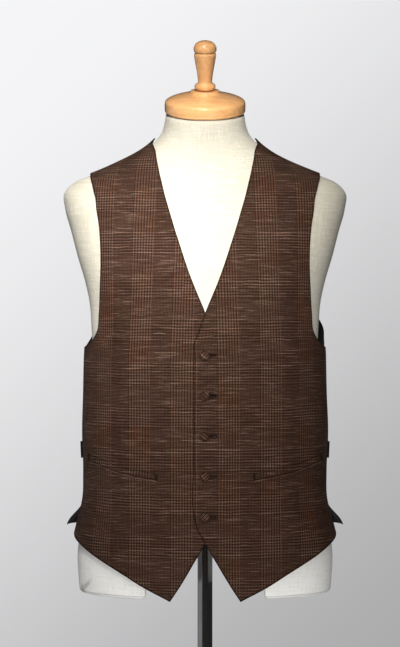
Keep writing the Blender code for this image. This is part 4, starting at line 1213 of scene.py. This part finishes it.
def make_buttonholes():
    """Whipping: threads across the slot's edge at a fixed pitch, all round each slot."""
    stitch_pitch, stitch_reach, uneven = 0.0007, 0.0018, 0.0003
    round_slot = 2 * (SLOT_END - SLOT_START) + 2 * math.pi * SLOT_HALF
    point, out = slot_edge(np.arange(0.0, round_slot, stitch_pitch))
    rough = np.random.default_rng(7)
    for number, height in enumerate(BUTTONS, start=1):
        length = stitch_reach + uneven * rough.random(len(point))

        def at(reach, lift):
            """Points so far out from the slot's edge and so high over the front's inner face."""
            spot = point + out * np.reshape(reach, (-1, 1))
            return front_point(BUTTON_X + spot[:, 0], height + spot[:, 1], lift)

        thread_bars("buttonhole_%d" % number, at(-0.00035, FRONT_WALL - 0.0006),
                    at(0.0002, FRONT_WALL + 0.001), at(length, FRONT_WALL + 0.0001),
                    radius=0.00034)


make_buttons()
make_buttonholes()


# ---------------------------------------------------------------- floor, light and camera
# A pale studio floor that fades out, a soft dim room, a key from above on the left, a low
# fill from before, a lamp behind for a pale outline, and a level camera.

FLOOR_RADIUS = 3.4


def make_floor():
    """Round pale floor; its edge thins out to nothing."""
    made = turned("floor", [(0.0, -0.0005), (FLOOR_RADIUS, -0.0005)], 96)
    material, tree, shader = new_material("floor_paper", Roughness=0.75, Emission_Strength=0.22,
                                          Emission_Color=(0.985, 0.985, 1.0, 1))
    place = add_node(tree, "TexCoord", "Object")
    grain = place.noise(3.0, 3.0, 3.0, detail=3.0)
    plug(shader, grain.mix((0.76, 0.76, 0.775, 1), (0.8, 0.8, 0.81, 1)))
    reach = add_node(tree, "VectorMath", "Value", {"operation": "LENGTH"}, i0=place)
    reach.ramp(FLOOR_RADIUS * 0.45, FLOOR_RADIUS * 0.98, 1.0, 0.0).into(shader.inputs["Alpha"])
    made.data.materials.append(material)


def make_world():
    """Pale backdrop, brighter to the upper left, and a dimmer room on the camera's side."""
    world = bpy.data.worlds.new("studio")
    bpy.context.scene.world = world
    world.use_nodes = True
    base = world.node_tree.nodes["Background"]
    across, ahead, up = add_node(world.node_tree, "TexCoord", "Generated").split()
    seen = (up * 2.2 - across * 1.9).ramp(-0.75, 0.55, 0.4, 0.93)
    level = up.ramp(-0.34, -0.24) * up.ramp(0.02, -0.05)
    room = ahead.ramp(-0.2, 0.7, 0.04, 0.05) + across.ramp(-0.6, -0.82) * level * 0.55
    path = add_node(world.node_tree, "LightPath", "Is Camera Ray")
    base.inputs["Color"].default_value = (0.985, 0.985, 1.0, 1)
    (path * seen + (1.0 - path) * room).into(base.inputs["Strength"])


Lamp = namedtuple("Lamp", "name kind place aim size power")
LAMPS = [Lamp("front", "AREA", (0.0, -2.6, 1.75), (0.0, 0.0, 1.2), 0.6, 9),
         Lamp("top", "AREA", (-0.25, -1.4, 2.6), (0.0, 0.0, 1.3), 0.6, 12),
         Lamp("back", "AREA", (0.0, 2.7, 1.25), (0.0, 0.0, 1.2), 0.55, 40),
         Lamp("key", "SPOT", (-0.05, -2.1, 2.3), (-0.09, -0.12, 1.333), 0.264, 860),
         Lamp("low", "SPOT", (0.1, -2.4, 1.0), (0.03, -0.1, 0.7), 0.25, 300)]


def make_lamp(lamp):
    """Square soft box, size in metres, or a spot light, size its angle, soft all the way in."""
    light = bpy.data.lights.new(lamp.name, lamp.kind)
    light.energy = lamp.power
    if lamp.kind == "AREA":
        light.size = lamp.size
    else:
        light.spot_size, light.spot_blend, light.shadow_soft_size = lamp.size, 1.0, 0.25
    made = new_object(lamp.name, light)
    made.location = lamp.place
    way = Vector(lamp.aim) - Vector(lamp.place)
    made.rotation_euler = way.to_track_quat("-Z", "Y").to_euler()
    made.visible_glossy = lamp.kind == "AREA"


def make_camera():
    """Level camera at the chest's height, a little to the wearer's right.

    The gate covers the frame's height; height, focal length and drop are counted in rows.
    """
    gate, frame_height, focal_length, drop = 36, 647, 1779, 23.5
    camera = bpy.data.cameras.new("camera")
    camera.lens, camera.sensor_width = focal_length / frame_height * gate, gate
    camera.shift_y = -drop / frame_height
    made = new_object("camera", camera)
    made.location = (-0.0076, -2.7, 1.24)
    made.rotation_euler = (math.pi / 2, 0.0, 0.0)
    bpy.context.scene.camera = made


make_floor()
make_world()
for lamp in LAMPS:
    make_lamp(lamp)
make_camera()
bpy.context.scene.view_settings.view_transform = "Standard"
